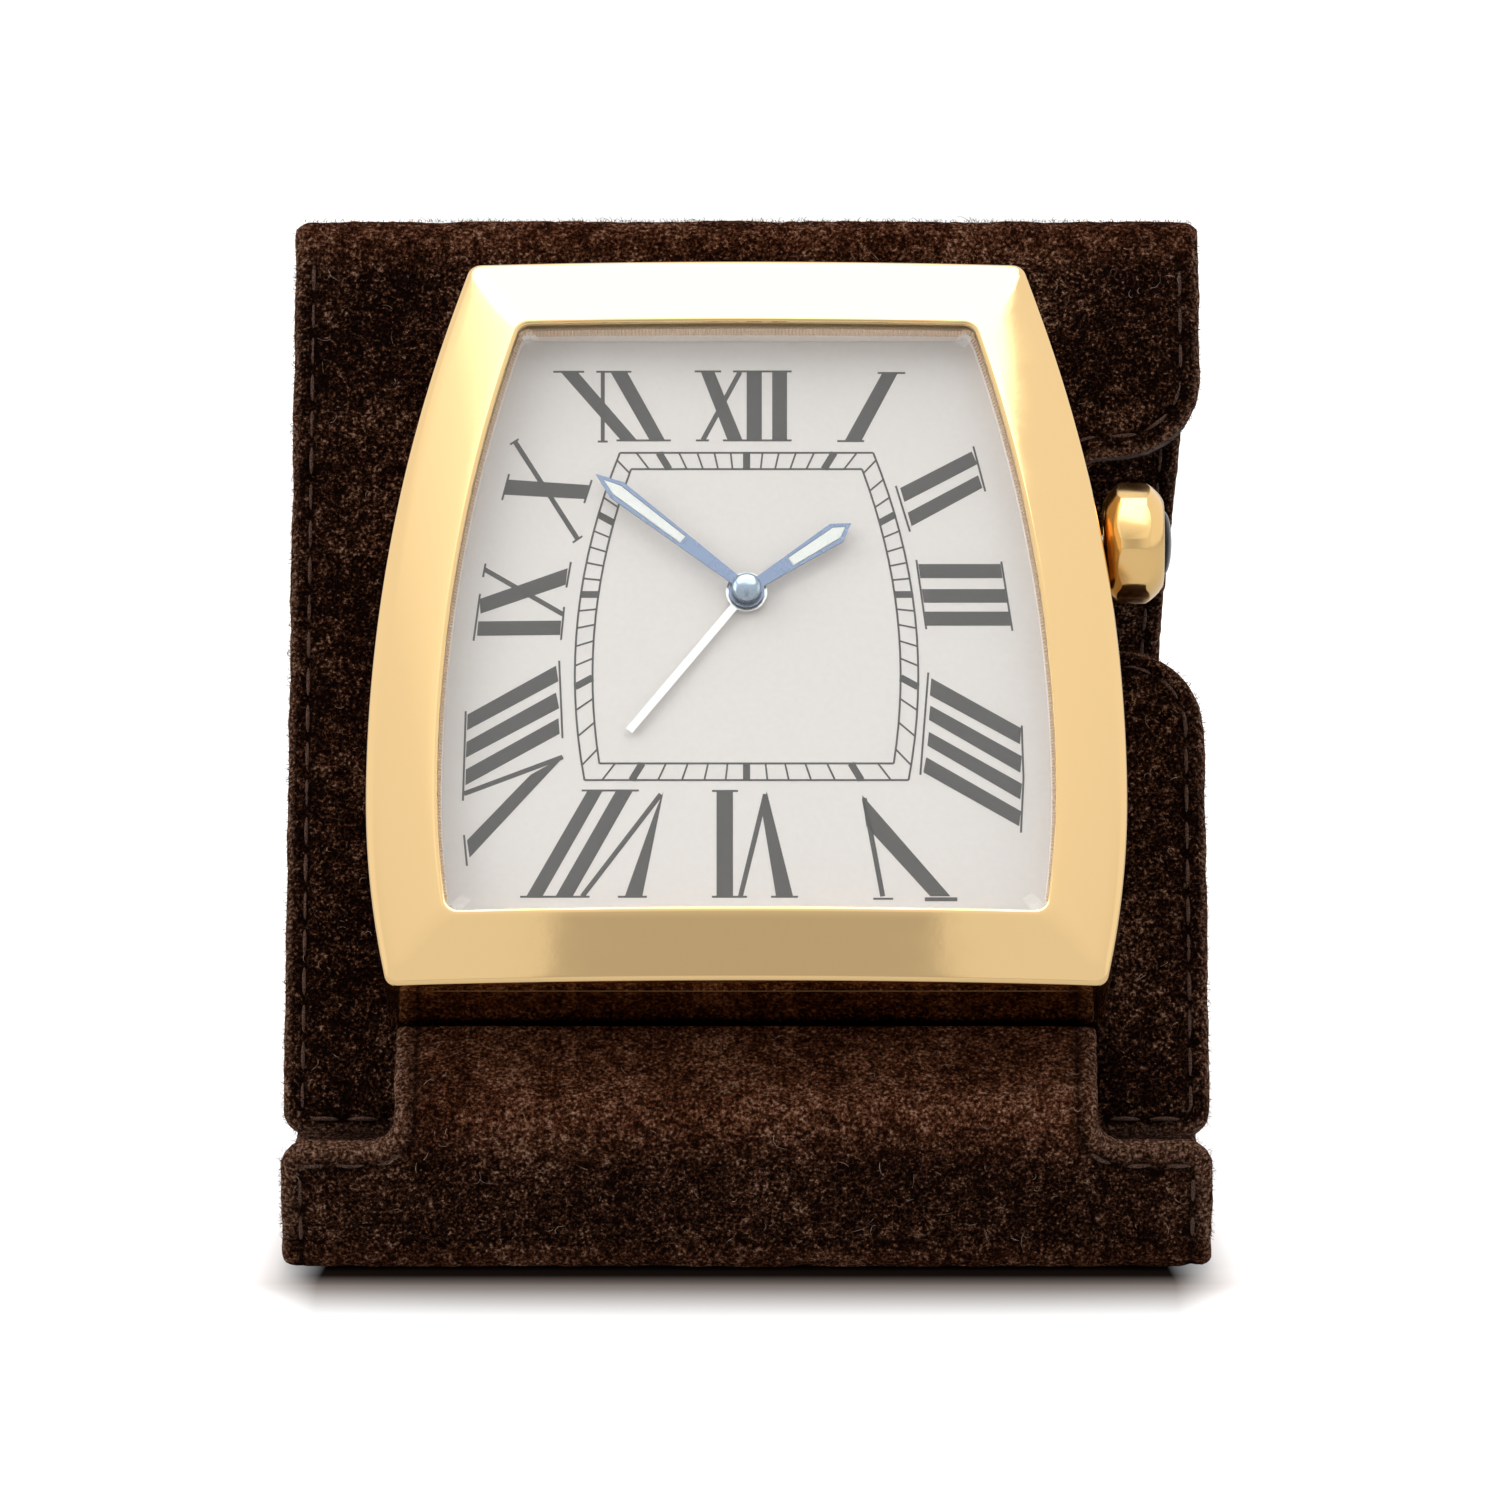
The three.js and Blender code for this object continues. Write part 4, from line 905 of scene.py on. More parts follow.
def round_top(u, v, z):
    """Where a flat point of the panel goes: up the panel, round the fold, onto the leg."""
    if v <= PANEL_HINGE:
        return on_panel(u, v, z)
    turn = (v - PANEL_HINGE) / TOP_RADIUS
    if turn <= top_turn:
        way = OUT * math.cos(turn) + UP * math.sin(turn)
        puffed = z + PUFF * math.sin(math.pi * turn / top_turn) * (1 + z / BOARD)
        return TOP_FOLD + (ACROSS * u + way * (TOP_RADIUS + puffed)) * MM
    return on_leg(u, v - PANEL_HINGE - fold_long, TOP_RADIUS + z)


right_seam = [p for p in inset_path(right_side, SEAM_INSET) if p[1] < PANEL_HINGE]
right_seam.append((HALF_WIDTH - SEAM_INSET, PANEL_HINGE - 1.5))
left_seam = inset_path(left_side, SEAM_INSET)
left_seam[0] = (left_seam[0][0], PANEL_HINGE - 1.5)
panel_seam = left_seam + right_seam
panel = flat_board(
    "panel_and_top_fold", right_side + left_side, -BOARD, 0, [panel_seam], raw_rows=(flat_top,),
    recesses=SCREW_POCKETS)
spots = points_of(panel) / MM
# Paler over the top fold, partly wear and partly a painted highlight where the fold faces up to the
# light.
mark(panel, "wear_and_painted_highlight", np.clip(1.2 - np.abs(spots[:, 1] - PANEL_HINGE - 3) / 5, 0, 1))
over_notch = spots[:, 1] - notch_high
under_lobe = (spots[:, 0] > NOTCH_FLOOR) & (over_notch > -1) & (over_notch < NOTCH_FLARE)
lobe = arc(flare_x, notch_high + NOTCH_FLARE, NOTCH_FLARE, 255, 340)
rim, _ = to_outline(spots[:, :2], lobe, closed=False)
painted = under_lobe & (spots[:, 2] < PAINT_LEVEL)
mark(panel, "edge_paint", np.where(painted, np.clip(1.2 - rim, 0, 1), 0))
bend(panel, round_top)
finish_piece(
    panel, suede, None, "suede", "panel_suede", "panel_stiffener", "panel_lining", "top_fold_roll",
    smooth_deg=180)
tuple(round_top(0, PANEL_HINGE, -1.6))
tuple(round_top(0, PANEL_HINGE + fold_long, -1.6))
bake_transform(panel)
sew("panel_stitches", panel_seam, [(-STITCH_SUNK, 1), (STITCH_SUNK - BOARD, -1)], on_panel, "holder")

# %% [markdown]
# Under the clock a tab of the same suede comes out of the panel, folds over and becomes the front
# lip, which is wider and so has a shoulder at each side. The tab, its fold and the lip are one
# flat shape, bent once. The fold is made rounder than a hinge line, because folded hide is.

# %% Tab, fold and lip
TAB_DROP, TAB_REACH, TAB_ROOT, TAB_HALF = 4.25, 8.27, 12.3, 36.7
TAB_DEG, LIP_DEG, LIP_RADIUS = 28.88, 103.0, 3.4
SHOULDER_DOWN, LIP_DOWN, SHOULDER_ROUND = 3.1, 14.9, 2.6
HALF_BOARD = BOARD / 2
WALL_FOOT, PANEL_SKIN, TAB_TUCK = 7.25, 0.32, -1.3

tab_turn = math.radians(TAB_DEG)
tab_along = UP * math.cos(tab_turn) - OUT * math.sin(tab_turn)
tab_out = UP * math.sin(tab_turn) + OUT * math.cos(tab_turn)
lip_up = Vector((0, math.cos(math.radians(LIP_DEG)), math.sin(math.radians(LIP_DEG))))
lip_out = Vector((0, -lip_up.z, lip_up.y))
lip_turn = tab_out.angle(lip_out)
lip_tangent = (LIP_RADIUS - HALF_BOARD) * math.tan(lip_turn / 2)
lip_centre = tab_along * lip_tangent - tab_out * (LIP_RADIUS - HALF_BOARD)
fold_start = TAB_ROOT - lip_tangent
fold_end = fold_start + LIP_RADIUS * lip_turn
shoulder = fold_end + SHOULDER_DOWN - lip_tangent
lip_end = fold_end + LIP_DOWN - lip_tangent


def round_lip(u, v, z):
    """Where a flat point of the tab and lip goes."""
    if v <= fold_start:
        a = TAB_ROOT - v
        s = -TAB_DROP + a * math.cos(tab_turn) + z * math.sin(tab_turn)
        h = TAB_REACH - a * math.sin(tab_turn) + z * math.cos(tab_turn)
        return on_panel(u, min(s, WALL_FOOT), max(h, PANEL_SKIN))
    if v <= fold_end:
        turn = (v - fold_start) / LIP_RADIUS
        way = tab_out * math.cos(turn) - tab_along * math.sin(turn)
        return LIP_FOLD + (ACROSS * u + lip_centre + way * (LIP_RADIUS - HALF_BOARD + z)) * MM
    down = lip_tangent + v - fold_end
    return LIP_FOLD + (ACROSS * u - lip_up * down + lip_out * z) * MM


lip_side = [
    (TAB_HALF, TAB_TUCK), (TAB_HALF, shoulder - SHOULDER_ROUND),
    *arc(TAB_HALF + SHOULDER_ROUND, shoulder - SHOULDER_ROUND, SHOULDER_ROUND, 180, 90, 6)[1:],
    (HALF_WIDTH - CORNER_CUT, shoulder), (HALF_WIDTH, shoulder + CORNER_CUT), (HALF_WIDTH, lip_end)]
lip_seams = [inset_path(side, SEAM_INSET) for side in (lip_side, mirror(lip_side))]
lip = flat_board("tab_and_lip", lip_side + mirror(lip_side), -HALF_BOARD, HALF_BOARD, lip_seams,
                 raw_rows=(TAB_TUCK, lip_end), rubbed=1.9)
spots = points_of(lip) / MM
# The whole tab, which faces up to the light, is marked fully paler and the lip a little: a painted
# highlight with some wear.
mark(lip, "wear_and_painted_highlight", np.clip((shoulder + 3 - spots[:, 1]) / 6, 0.12, 1))
bend(lip, round_lip)
finish_piece(lip, suede, None, "suede", "cradle_tab", "lip_suede", "lip_stiffener", "lip_lining",
             "lip_fold_roll", smooth_deg=180)
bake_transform(lip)
for side, seam in zip(("right", "left"), lip_seams):
    on_lip = [point for point in seam if point[1] >= shoulder - 1]
    sew(side + "_lip_stitches", on_lip, [(HALF_BOARD - STITCH_SUNK, 1)], round_lip, "front_lip")

# %% [markdown]
# The cover that lies on the table is hinged on the lip's lower edge by a tight fold, and the rear
# leg hangs from the top fold. They are flat boards with clipped corners and sewn edges.

# %% Floor fold and base
FLOOR_RADIUS, STUB = 2.4, 2.8
base_turn = math.radians(180 - LIP_DEG)
base_tangent = (FLOOR_RADIUS - HALF_BOARD) * math.tan(base_turn / 2)
base_centre = lip_up * base_tangent - lip_out * (FLOOR_RADIUS - HALF_BOARD)
base_back = (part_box("base_suede")[1].y - FLOOR_FOLD.y) / MM
stub_end = STUB - base_tangent
bend_end = stub_end + FLOOR_RADIUS * base_turn
base_end = bend_end + base_back - base_tangent
BACKWARD, DOWN = Vector((0, 1, 0)), Vector((0, 0, -1))
TABLE_GAP = 0.02


def round_floor(u, v, z):
    """Where a flat point of the floor fold and base goes."""
    if v <= stub_end:
        point = lip_up * (STUB - v) + lip_out * z
    elif v <= bend_end:
        turn = (v - stub_end) / FLOOR_RADIUS
        way = lip_out * math.cos(turn) - lip_up * math.sin(turn)
        point = base_centre + way * (FLOOR_RADIUS - HALF_BOARD + z)
    else:
        point = BACKWARD * (base_tangent + v - bend_end) + DOWN * z
    spot = FLOOR_FOLD + (ACROSS * u + point) * MM
    spot.z = max(spot.z, TABLE_GAP * MM)
    return spot


right_side = [(HALF_WIDTH, 0), (HALF_WIDTH, base_end - CORNER_CUT), (HALF_WIDTH - CORNER_CUT, base_end)]
left_side = mirror(right_side)
base_seam = inset_path(right_side + left_side, SEAM_INSET)
base = flat_board("floor_fold_and_base", right_side + left_side, -HALF_BOARD, HALF_BOARD,
                  [base_seam], raw_rows=(0,))
spots = points_of(base) / MM
mark(base, "wear_and_painted_highlight", np.clip(1 - np.abs(spots[:, 1] - bend_end + 1.5) / 4, 0, 1))
bend(base, round_floor)
finish_piece(base, suede, None, "suede", "base_suede", "base_stiffener", "base_lining",
             "floor_fold_roll", smooth_deg=180)
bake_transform(base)
(start_x, _), *base_sewn, (end_x, _) = base_seam
base_sewn = [(start_x, bend_end + 2), *base_sewn, (end_x, bend_end + 2)]
sew("base_stitches", base_sewn, [(HALF_BOARD - STITCH_SUNK, 1), (STITCH_SUNK - HALF_BOARD, -1)],
    round_floor, "base_cover")

# %% Rear leg
LEG_TOP, LEG_END, LEG_LOW, LEG_HIGH, LEG_TAPER = 3.6, 96.0, 0.3, 3.5, 5.5
foot = HALF_WIDTH - LEG_TAPER
right_side = [(HALF_WIDTH, LEG_TOP), (foot, LEG_END - CORNER_CUT), (foot - CORNER_CUT, LEG_END)]
left_side = mirror(right_side)
leg_seam = inset_path(right_side + left_side, SEAM_INSET)
leg = flat_board("rear_leg_board", right_side + left_side, LEG_LOW, LEG_HIGH, [leg_seam],
                 raw_rows=(LEG_TOP,))
bend(leg, on_leg)
finish_piece(leg, suede, "rear_leg", "suede", "leg_suede", "leg_stiffener", "leg_lining",
             smooth_deg=180)
sew("leg_stitches", leg_seam, [(LEG_HIGH - STITCH_SUNK, 1), (LEG_LOW + STITCH_SUNK, -1)], on_leg,
    "rear_leg")

# %% [markdown]
# The glass follows the camber of the bezel, and a cream gasket holds it. Between the glass and the
# dial stands a gilt ring with fine flutes, which show as a beaded line round the dial. The ring's
# lower half is lacquered like the dial, so that it vanishes into it; that lacquer is paler than the
# dial's, painted light that lifts the wall, which faces away from the lamps at the top, out of shade.

# %% Glass, gasket and ring
GLASS_INSET, GLASS_TOP, GLASS_BOTTOM, GLASS_MIDDLE = 6.8, 18.2, 16.7, 48.0
FLUTE_MM = 0.36
glass_shares = [0.06, 0.2, 0.36, 0.52, 0.68, 0.82, 0.92]


def shrunk(share, height):
    """The glass outline drawn in towards its middle, at a cambered height."""
    return [
        on_panel(x * share, GLASS_MIDDLE + (y - GLASS_MIDDLE) * share,
                 height - (x * share) ** 2 / (2 * CAMBER))
        for x, y in barrel(GLASS_INSET)]


glass_rows = [shrunk(share, GLASS_TOP) for share in glass_shares]
glass_rows += barrel_rows([
    (GLASS_INSET + 0.15, GLASS_TOP, 1), (GLASS_INSET, GLASS_TOP - 0.15, 1),
    (GLASS_INSET, GLASS_BOTTOM + 0.1, 1), (GLASS_INSET + 0.1, GLASS_BOTTOM, 1)])
glass_rows += [shrunk(share, GLASS_BOTTOM) for share in reversed(glass_shares)]
crystal = wrap("glass_pane", glass_rows)
finish_piece(crystal, glass, "holder", "glass", "crystal", smooth_deg=40)
gasket = wrap("glass_gasket", barrel_rows([
    (GLASS_INSET, 16.2, 1), (GLASS_INSET, 16.6, 1), (BAND - 0.08, 16.6, 1), (BAND, 16.52, 1),
    (BAND, 16.28, 1), (BAND - 0.08, 16.2, 1)]), round_rows=True)
finish_piece(gasket, gasket_finish, "holder", "rubber", "crystal_gasket", smooth_deg=40)
fluted, tree = new_material("fluted gold plate")
beads = add(tree, "ShaderNodeMath", {
    0: add(tree, "ShaderNodeMath", {
        0: add(tree, "ShaderNodeAttribute", attribute_name="run").outputs["Fac"],
        1: 2 * math.pi / FLUTE_MM}, operation="MULTIPLY").outputs[0]}, operation="SINE").outputs[0]
flutes = add(tree, "ShaderNodeMapRange", {"Value": beads, "From Min": -1}).outputs["Result"]
finish_material(tree, add(tree, "ShaderNodeBsdfPrincipled", {
    "Base Color": linear("#f8dcc0"), "Metallic": 1.0,
    "Roughness": add(tree, "ShaderNodeMapRange", {
        "Value": flutes, "To Min": 0.25, "To Max": 0.4}).outputs["Result"],
    "Normal": add(tree, "ShaderNodeBump", {"Height": flutes, "Distance": 0.08 * MM}).outputs["Normal"]}))
ring = wrap("fluted_inner_ring", barrel_rows([
    (BAND - 0.85, 15.2, 0.7), (BAND - 0.85, 16.05, 1), (BAND - 0.8, 16.1, 1), (BAND - 0.1, 16.1, 1),
    (BAND, 16.0, 1), (BAND + 0.3, 15.25, 0.7), (BAND + 0.3, 15.2, 0.7)]), round_rows=True)
flat_ring = [((v.co - ORIGIN).dot(ACROSS) / MM, (v.co - ORIGIN).dot(UP) / MM) for v in ring.data.vertices]
_, run = to_outline(np.array(flat_ring), barrel(BAND))
mark(ring, "run", run)
finish_piece(ring, fluted, "holder", "inner_gilt", "inner_ring", smooth_deg=40)
reflector = wrap("dial_reflector", barrel_rows([
    (BAND - 0.85, 13.7, 0), (BAND - 0.85, 15.15, 0.7), (BAND + 0.28, 15.15, 0.7),
    (BAND + 0.42, 13.7, 0)]), round_rows=True)
finish_piece(reflector, painted_light_lacquer, "holder", "dial", smooth_deg=40)

# %% [markdown]
# The dial is printed: Roman figures whose heads point outwards, each leaning so that its strokes
# run towards the centre, and a railway track of sixty divisions with a heavier bar at each fifth.
# Thick strokes are bars, given by the (across, up) of four corners. Thin ones and serifs are lines,
# given by their two ends and a width. All are flat shapes a few hundredths of a millimetre thick,
# laid on the lacquer: too thin to see, but solid as ink is.

# %% Figures
INK_LOW, INK_HIGH = 13.6, 13.63
NUMERALS = {
    "twelve": (
        [(-4.83, 76.74, -3.39, 76.74, -0.43, 69.0, -2.01, 69.0),
         (0.01, 76.74, 1.61, 76.74, 1.61, 69.0, 0.01, 69.0),
         (2.71, 76.74, 4.28, 76.74, 4.27, 69.0, 2.71, 69.0)],
        [(-0.7, 76.74, -4.61, 69.0, 0.52), (-5.49, 76.81, -2.69, 76.81, 0.21),
         (-1.44, 76.81, 4.76, 76.81, 0.21), (-5.35, 68.96, -3.97, 68.96, 0.21),
         (-2.49, 68.96, 4.75, 68.96, 0.21)]),
    "one": (
        [(14.35, 76.63, 15.99, 76.63, 12.1, 68.88, 10.34, 68.88)],
        [(13.86, 76.63, 16.78, 76.63, 0.21), (9.56, 68.88, 12.41, 68.88, 0.21)]),
    "two": (
        [(16.18, 63.55, 16.63, 61.99, 24.33, 66.26, 23.74, 67.7),
         (16.96, 60.77, 17.37, 59.25, 24.85, 63.59, 24.4, 65.0)],
        [(15.73, 63.8, 17.19, 58.63, 0.21), (23.92, 68.28, 25.15, 63.18, 0.21)]),
    "three": (
        [(18.05, 54.97, 18.26, 53.39, 26.89, 53.39, 26.69, 54.97),
         (18.41, 52.15, 18.61, 50.63, 27.34, 50.63, 27.14, 52.15),
         (18.71, 49.62, 18.86, 48.05, 27.69, 48.05, 27.54, 49.62)],
        [(17.85, 55.44, 18.85, 47.65, 0.21), (26.78, 55.25, 27.89, 47.47, 0.21)]),
    "four": (
        [(19.35, 42.16, 19.19, 40.26, 28.58, 34.79, 28.7, 36.58),
         (19.23, 39.1, 19.07, 37.51, 28.59, 31.63, 28.76, 33.45),
         (19.07, 36.17, 18.9, 34.64, 28.56, 28.65, 28.76, 30.38),
         (18.78, 33.34, 18.46, 31.67, 28.42, 25.68, 28.63, 27.34)],
        [(19.04, 42.79, 18.15, 31.38, 0.21), (28.78, 36.87, 28.92, 31.01, 0.21),
         (28.92, 31.01, 28.6, 24.97, 0.21)]),
    "five": (
        [(12.07, 29.12, 12.48, 25.68, 19.12, 17.93, 21.21, 17.93)],
        [(12.28, 28.78, 14.17, 17.93, 0.52), (13.18, 17.66, 15.26, 17.66, 0.21),
         (18.54, 17.6, 21.93, 17.6, 0.42)]),
    "six": (
        [(-3.13, 29.56, -1.42, 29.56, -1.41, 17.93, -3.12, 17.93),
         (2.1, 29.56, 1.62, 27.23, 3.07, 17.93, 4.84, 17.93)],
        [(1.98, 29.23, -0.63, 17.93, 0.52), (-3.61, 29.59, -0.89, 29.59, 0.21),
         (-3.6, 17.88, 0.05, 17.88, 0.21), (2.55, 17.88, 5.36, 17.88, 0.21)]),
    "seven": (
        [(-16.63, 29.56, -15.04, 29.56, -21.22, 17.93, -22.9, 17.93),
         (-13.65, 29.56, -11.9, 29.56, -18.08, 17.93, -19.86, 17.93),
         (-8.66, 29.56, -9.56, 27.23, -12.66, 17.93, -10.84, 17.93)],
        [(-8.94, 29.23, -17.09, 17.93, 0.52), (-17.2, 29.64, -11.24, 29.64, 0.21),
         (-23.56, 17.88, -16.33, 17.88, 0.21), (-13.39, 17.88, -10.37, 17.88, 0.21)]),
    "eight": (
        [(-19.97, 43.56, -19.7, 41.83, -29.23, 36.35, -29.19, 38.1),
         (-19.95, 40.56, -19.61, 38.81, -29.33, 33.29, -29.27, 35.04),
         (-19.68, 37.69, -19.54, 35.96, -29.34, 30.23, -29.32, 31.97),
         (-19.08, 33.42, -22.55, 31.4, -29.13, 24.12, -28.85, 22.19)],
        [(-19.21, 33.37, -29.49, 29.28, 0.52), (-19.64, 44.12, -19.24, 35.46, 0.21),
         (-29.38, 38.47, -29.59, 28.51, 0.21), (-29.45, 24.7, -29.11, 21.3, 0.21)]),
    "nine": (
        [(-18.8, 54.51, -19.0, 52.66, -27.92, 49.4, -28.04, 51.03),
         (-19.45, 48.61, -19.55, 47.0, -28.27, 46.92, -28.15, 48.52)],
        [(-27.54, 54.37, -19.25, 49.31, 0.52), (-18.47, 55.21, -18.92, 52.32, 0.21),
         (-27.44, 55.02, -27.69, 53.5, 0.21), (-19.15, 50.15, -19.46, 46.44, 0.21),
         (-27.99, 51.61, -28.63, 46.36, 0.21)]),
    "ten": (
        [(-25.24, 64.52, -25.55, 62.82, -16.94, 62.31, -16.63, 63.89)],
        [(-24.48, 68.88, -17.77, 57.79, 0.52), (-25.04, 65.14, -25.75, 62.19, 0.21),
         (-16.32, 64.46, -17.1, 61.85, 0.21), (-24.95, 68.49, -24.06, 69.11, 0.21),
         (-18.29, 57.39, -17.29, 58.12, 0.21)]),
    "eleven": (
        [(-19.66, 76.74, -17.86, 76.74, -11.58, 69.0, -13.28, 69.0),
         (-14.39, 76.74, -12.64, 76.74, -8.62, 69.0, -10.24, 69.0)],
        [(-15.21, 76.74, -15.18, 68.88, 0.42), (-20.44, 76.77, -17.18, 76.77, 0.21),
         (-15.89, 76.77, -12.18, 76.77, 0.21), (-13.73, 68.96, -7.99, 68.96, 0.21),
         (-15.71, 68.83, -14.65, 68.83, 0.21)]),
}


def ink_shape(corners):
    """One printed shape: a plane laid on four corners."""
    bpy.ops.mesh.primitive_plane_add(size=0.01)
    shape = bpy.context.object
    lay(shape.data, [on_panel(*corners[i], INK_LOW) for i in (0, 1, 3, 2)])
    shape.matrix_world.identity()
    return shape


def line_corners(u0, s0, u1, s1, width):
    """The corners of a straight line of ink."""
    length = math.hypot(u1 - u0, s1 - s0)
    du, ds = -(s1 - s0) * width / 2 / length, (u1 - u0) * width / 2 / length
    return [(u0 + du, s0 + ds), (u0 - du, s0 - ds), (u1 - du, s1 - ds), (u1 + du, s1 + ds)]


def print_ink(name, shapes):
    """Joins printed shapes and gives them the ink's thickness."""
    printed = join(name, shapes)
    thicken(printed, OUT * (INK_HIGH - INK_LOW) * MM)
    finish_piece(printed, ink, "holder", "dial")


for figure, (bars, lines) in NUMERALS.items():
    shapes = [ink_shape(list(zip(bar[::2], bar[1::2]))) for bar in bars]
    shapes += [ink_shape(line_corners(*line)) for line in lines]
    print_ink("figure_" + figure, shapes)

# %% Railway track
TRACK_LOW, TRACK_HIGH, TRACK_WIDE, HAIR = 30.8, 67.55, 1.85, 0.21
TRACK_HALVES = ((67.55, 13.36), (41.1, 17.97), (30.8, 16.92))
TICK, FIVE_TICK, TRACK_STEPS = 0.19, 0.75, 16


def track_half(s):
    """Half the track's width at a height: a smooth curve through three measured places."""
    total = 0.0
    for i, (si, wi) in enumerate(TRACK_HALVES):
        share = 1.0
        for j, (sj, _) in enumerate(TRACK_HALVES):
            share *= (s - sj) / (si - sj) if i != j else 1.0
        total += wi * share
    return total


def track_loop(inset):
    """The track's outline, drawn in by an inset, counter-clockwise from the lower right."""
    rows = [TRACK_LOW + inset + (TRACK_HIGH - TRACK_LOW - 2 * inset) * i / TRACK_STEPS
            for i in range(TRACK_STEPS + 1)]
    right = [(track_half(s) - inset, s) for s in rows]
    return right + mirror(right)


def reach_of(loop, turn):
    """How far a ray from the hands' centre goes before it meets a loop."""
    du, ds = math.sin(turn), math.cos(turn)
    best = FAR
    for (u0, s0), (u1, s1) in zip(loop, loop[1:] + loop[:1]):
        eu, es = u1 - u0, s1 - s0
        cross = du * es - ds * eu
        if abs(cross) < 1e-9:
            continue
        far = (u0 * es - (s0 - HAND_UP) * eu) / cross
        share = (u0 * ds - (s0 - HAND_UP) * du) / cross
        if far > 0 and -1e-9 <= share <= 1 + 1e-9:
            best = min(best, far)
    return best


shapes = []
outer_loop, inner_loop = track_loop(0), track_loop(TRACK_WIDE)
for loop in (outer_loop, inner_loop):
    for (u0, s0), (u1, s1) in zip(loop, loop[1:] + loop[:1]):
        shapes.append(ink_shape(line_corners(u0, s0, u1, s1, HAIR)))
for minute in range(60):
    turn = math.radians(6 * minute)
    near, far = reach_of(inner_loop, turn), reach_of(outer_loop, turn)
    du, ds = math.sin(turn), math.cos(turn)
    width = FIVE_TICK if minute % 5 == 0 else TICK
    shapes.append(ink_shape(line_corners(
        du * near, HAND_UP + ds * near, du * far, HAND_UP + ds * far, width)))
print_ink("railway_track", shapes)

# %% [markdown]
# The crown has eight flats cut across a turned barrel, so each flat ends in a curve. That is how it
# is modelled: a turned body and an eight-sided bar are intersected, and the sharp arrises are
# eased by a small bevel. A black stone, cut as a low dome, is set in its end.

# %% Crown
CROWN_UP, CROWN_OUT, CROWN_ACROSS, CROWN_FLATS = 59.7, 8.0, 12.2, 8
STONE_RADIUS, STONE_SEAT, STONE_RISE, ROUND_POINTS = 3.4, 0.6, 0.85, 72
crown_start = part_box("crown")[0].x / MM
crown_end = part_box("crown")[1].x / MM


def turned(name, profile, centre, axis, side):
    """A turned form from (distance along the axis, radius) pairs."""
    other = axis.cross(side)
    turns = [2 * math.pi * i / ROUND_POINTS for i in range(ROUND_POINTS)]
    return wrap(name, [
        [centre + (axis * along + (side * math.cos(a) + other * math.sin(a)) * radius) * MM
         for a in turns]
        for along, radius in profile])


def carve(piece, tool, operation):
    """A boolean with a tool that is then thrown away."""
    modify(piece, "BOOLEAN", object=tool, operation=operation, solver="EXACT")
    bpy.data.objects.remove(tool)


crown_axis = on_panel(0, CROWN_UP, CROWN_OUT)
crown = turned("crown_faceted", [
    *((crown_start + along, radius) for along, radius in (
        (0, 3.6), (0.05, 4.1), (0.2, 4.6), (0.5, 5.1), (0.9, 5.58), (1.35, 6.02), (1.85, 6.4))),
    *((crown_end - back, radius) for back, radius in (
        (1.95, 6.4), (1.4, 6.05), (0.9, 5.62), (0.5, 5.2), (0.2, 4.75), (0.05, 4.45), (0, 4.1)))],
    crown_axis, ACROSS, UP)
bpy.ops.mesh.primitive_cylinder_add(vertices=CROWN_FLATS, radius=1, depth=2)
flats = bpy.context.object
turn = math.pi / CROWN_FLATS
corner = CROWN_ACROSS / 2 / math.cos(turn)
lay(flats.data, [
    crown_axis + (ACROSS * ((crown_start + crown_end) / 2 + 4 * z)
                  + UP * corner * (x * math.cos(turn) - y * math.sin(turn))
                  + OUT * corner * (x * math.sin(turn) + y * math.cos(turn))) * MM
    for x, y, z in points_of(flats)])
flats.matrix_world.identity()
carve(crown, flats, "INTERSECT")
seat = turned("stone_seat", [(crown_end - STONE_SEAT, STONE_RADIUS + 0.12),
                             (crown_end + 1, STONE_RADIUS + 0.12)], crown_axis, ACROSS, UP)
carve(crown, seat, "DIFFERENCE")
modify(crown, "BEVEL", width=0.14 * MM, segments=2, limit_method="ANGLE", angle_limit=math.radians(28))
finish_piece(crown, crown_gilt, "crown", "gilt", "crown", smooth_deg=25)

stone_profile = [(crown_end - STONE_SEAT + 0.1, STONE_RADIUS), (crown_end - 0.05, STONE_RADIUS)]
for step in range(1, 14):
    angle = math.pi / 2 * step / 13.4
    stone_profile.append((crown_end + (STONE_RISE + 0.02) * math.sin(angle) - 0.03,
                          STONE_RADIUS * math.cos(angle)))
stone = turned("crown_stone", stone_profile, crown_axis, ACROSS, UP)
finish_piece(stone, onyx, "crown", "onyx", "crown_cabochon", smooth_deg=60)

# %% Cap on the hands
CAP_LEVEL, CAP_HEIGHT, CAP_RADIUS = 15.7, 0.7, 1.55
cap_profile = [(CAP_LEVEL, CAP_RADIUS - 0.05), (CAP_LEVEL + 0.05, CAP_RADIUS)]
for step in range(1, 12):
    angle = math.pi / 2 * step / 11.5
    cap_profile.append((CAP_LEVEL + 0.14 + (CAP_HEIGHT - 0.15) * math.sin(angle),
                        CAP_RADIUS * math.cos(angle) ** 0.8))
cap = turned("hand_cap", cap_profile, on_panel(0, HAND_UP, 0), OUT, UP)
finish_piece(cap, pale_blue, "minute_arbor", "blued", "arbor_cap", smooth_deg=60)

# %% [markdown]
# The pieces that keep their solids from the frame get the finish of the real ones: steel backs and
# screws, brass wheels, blue hands with white paint in their slots, and the plastic, copper and
# circuit board inside the case.

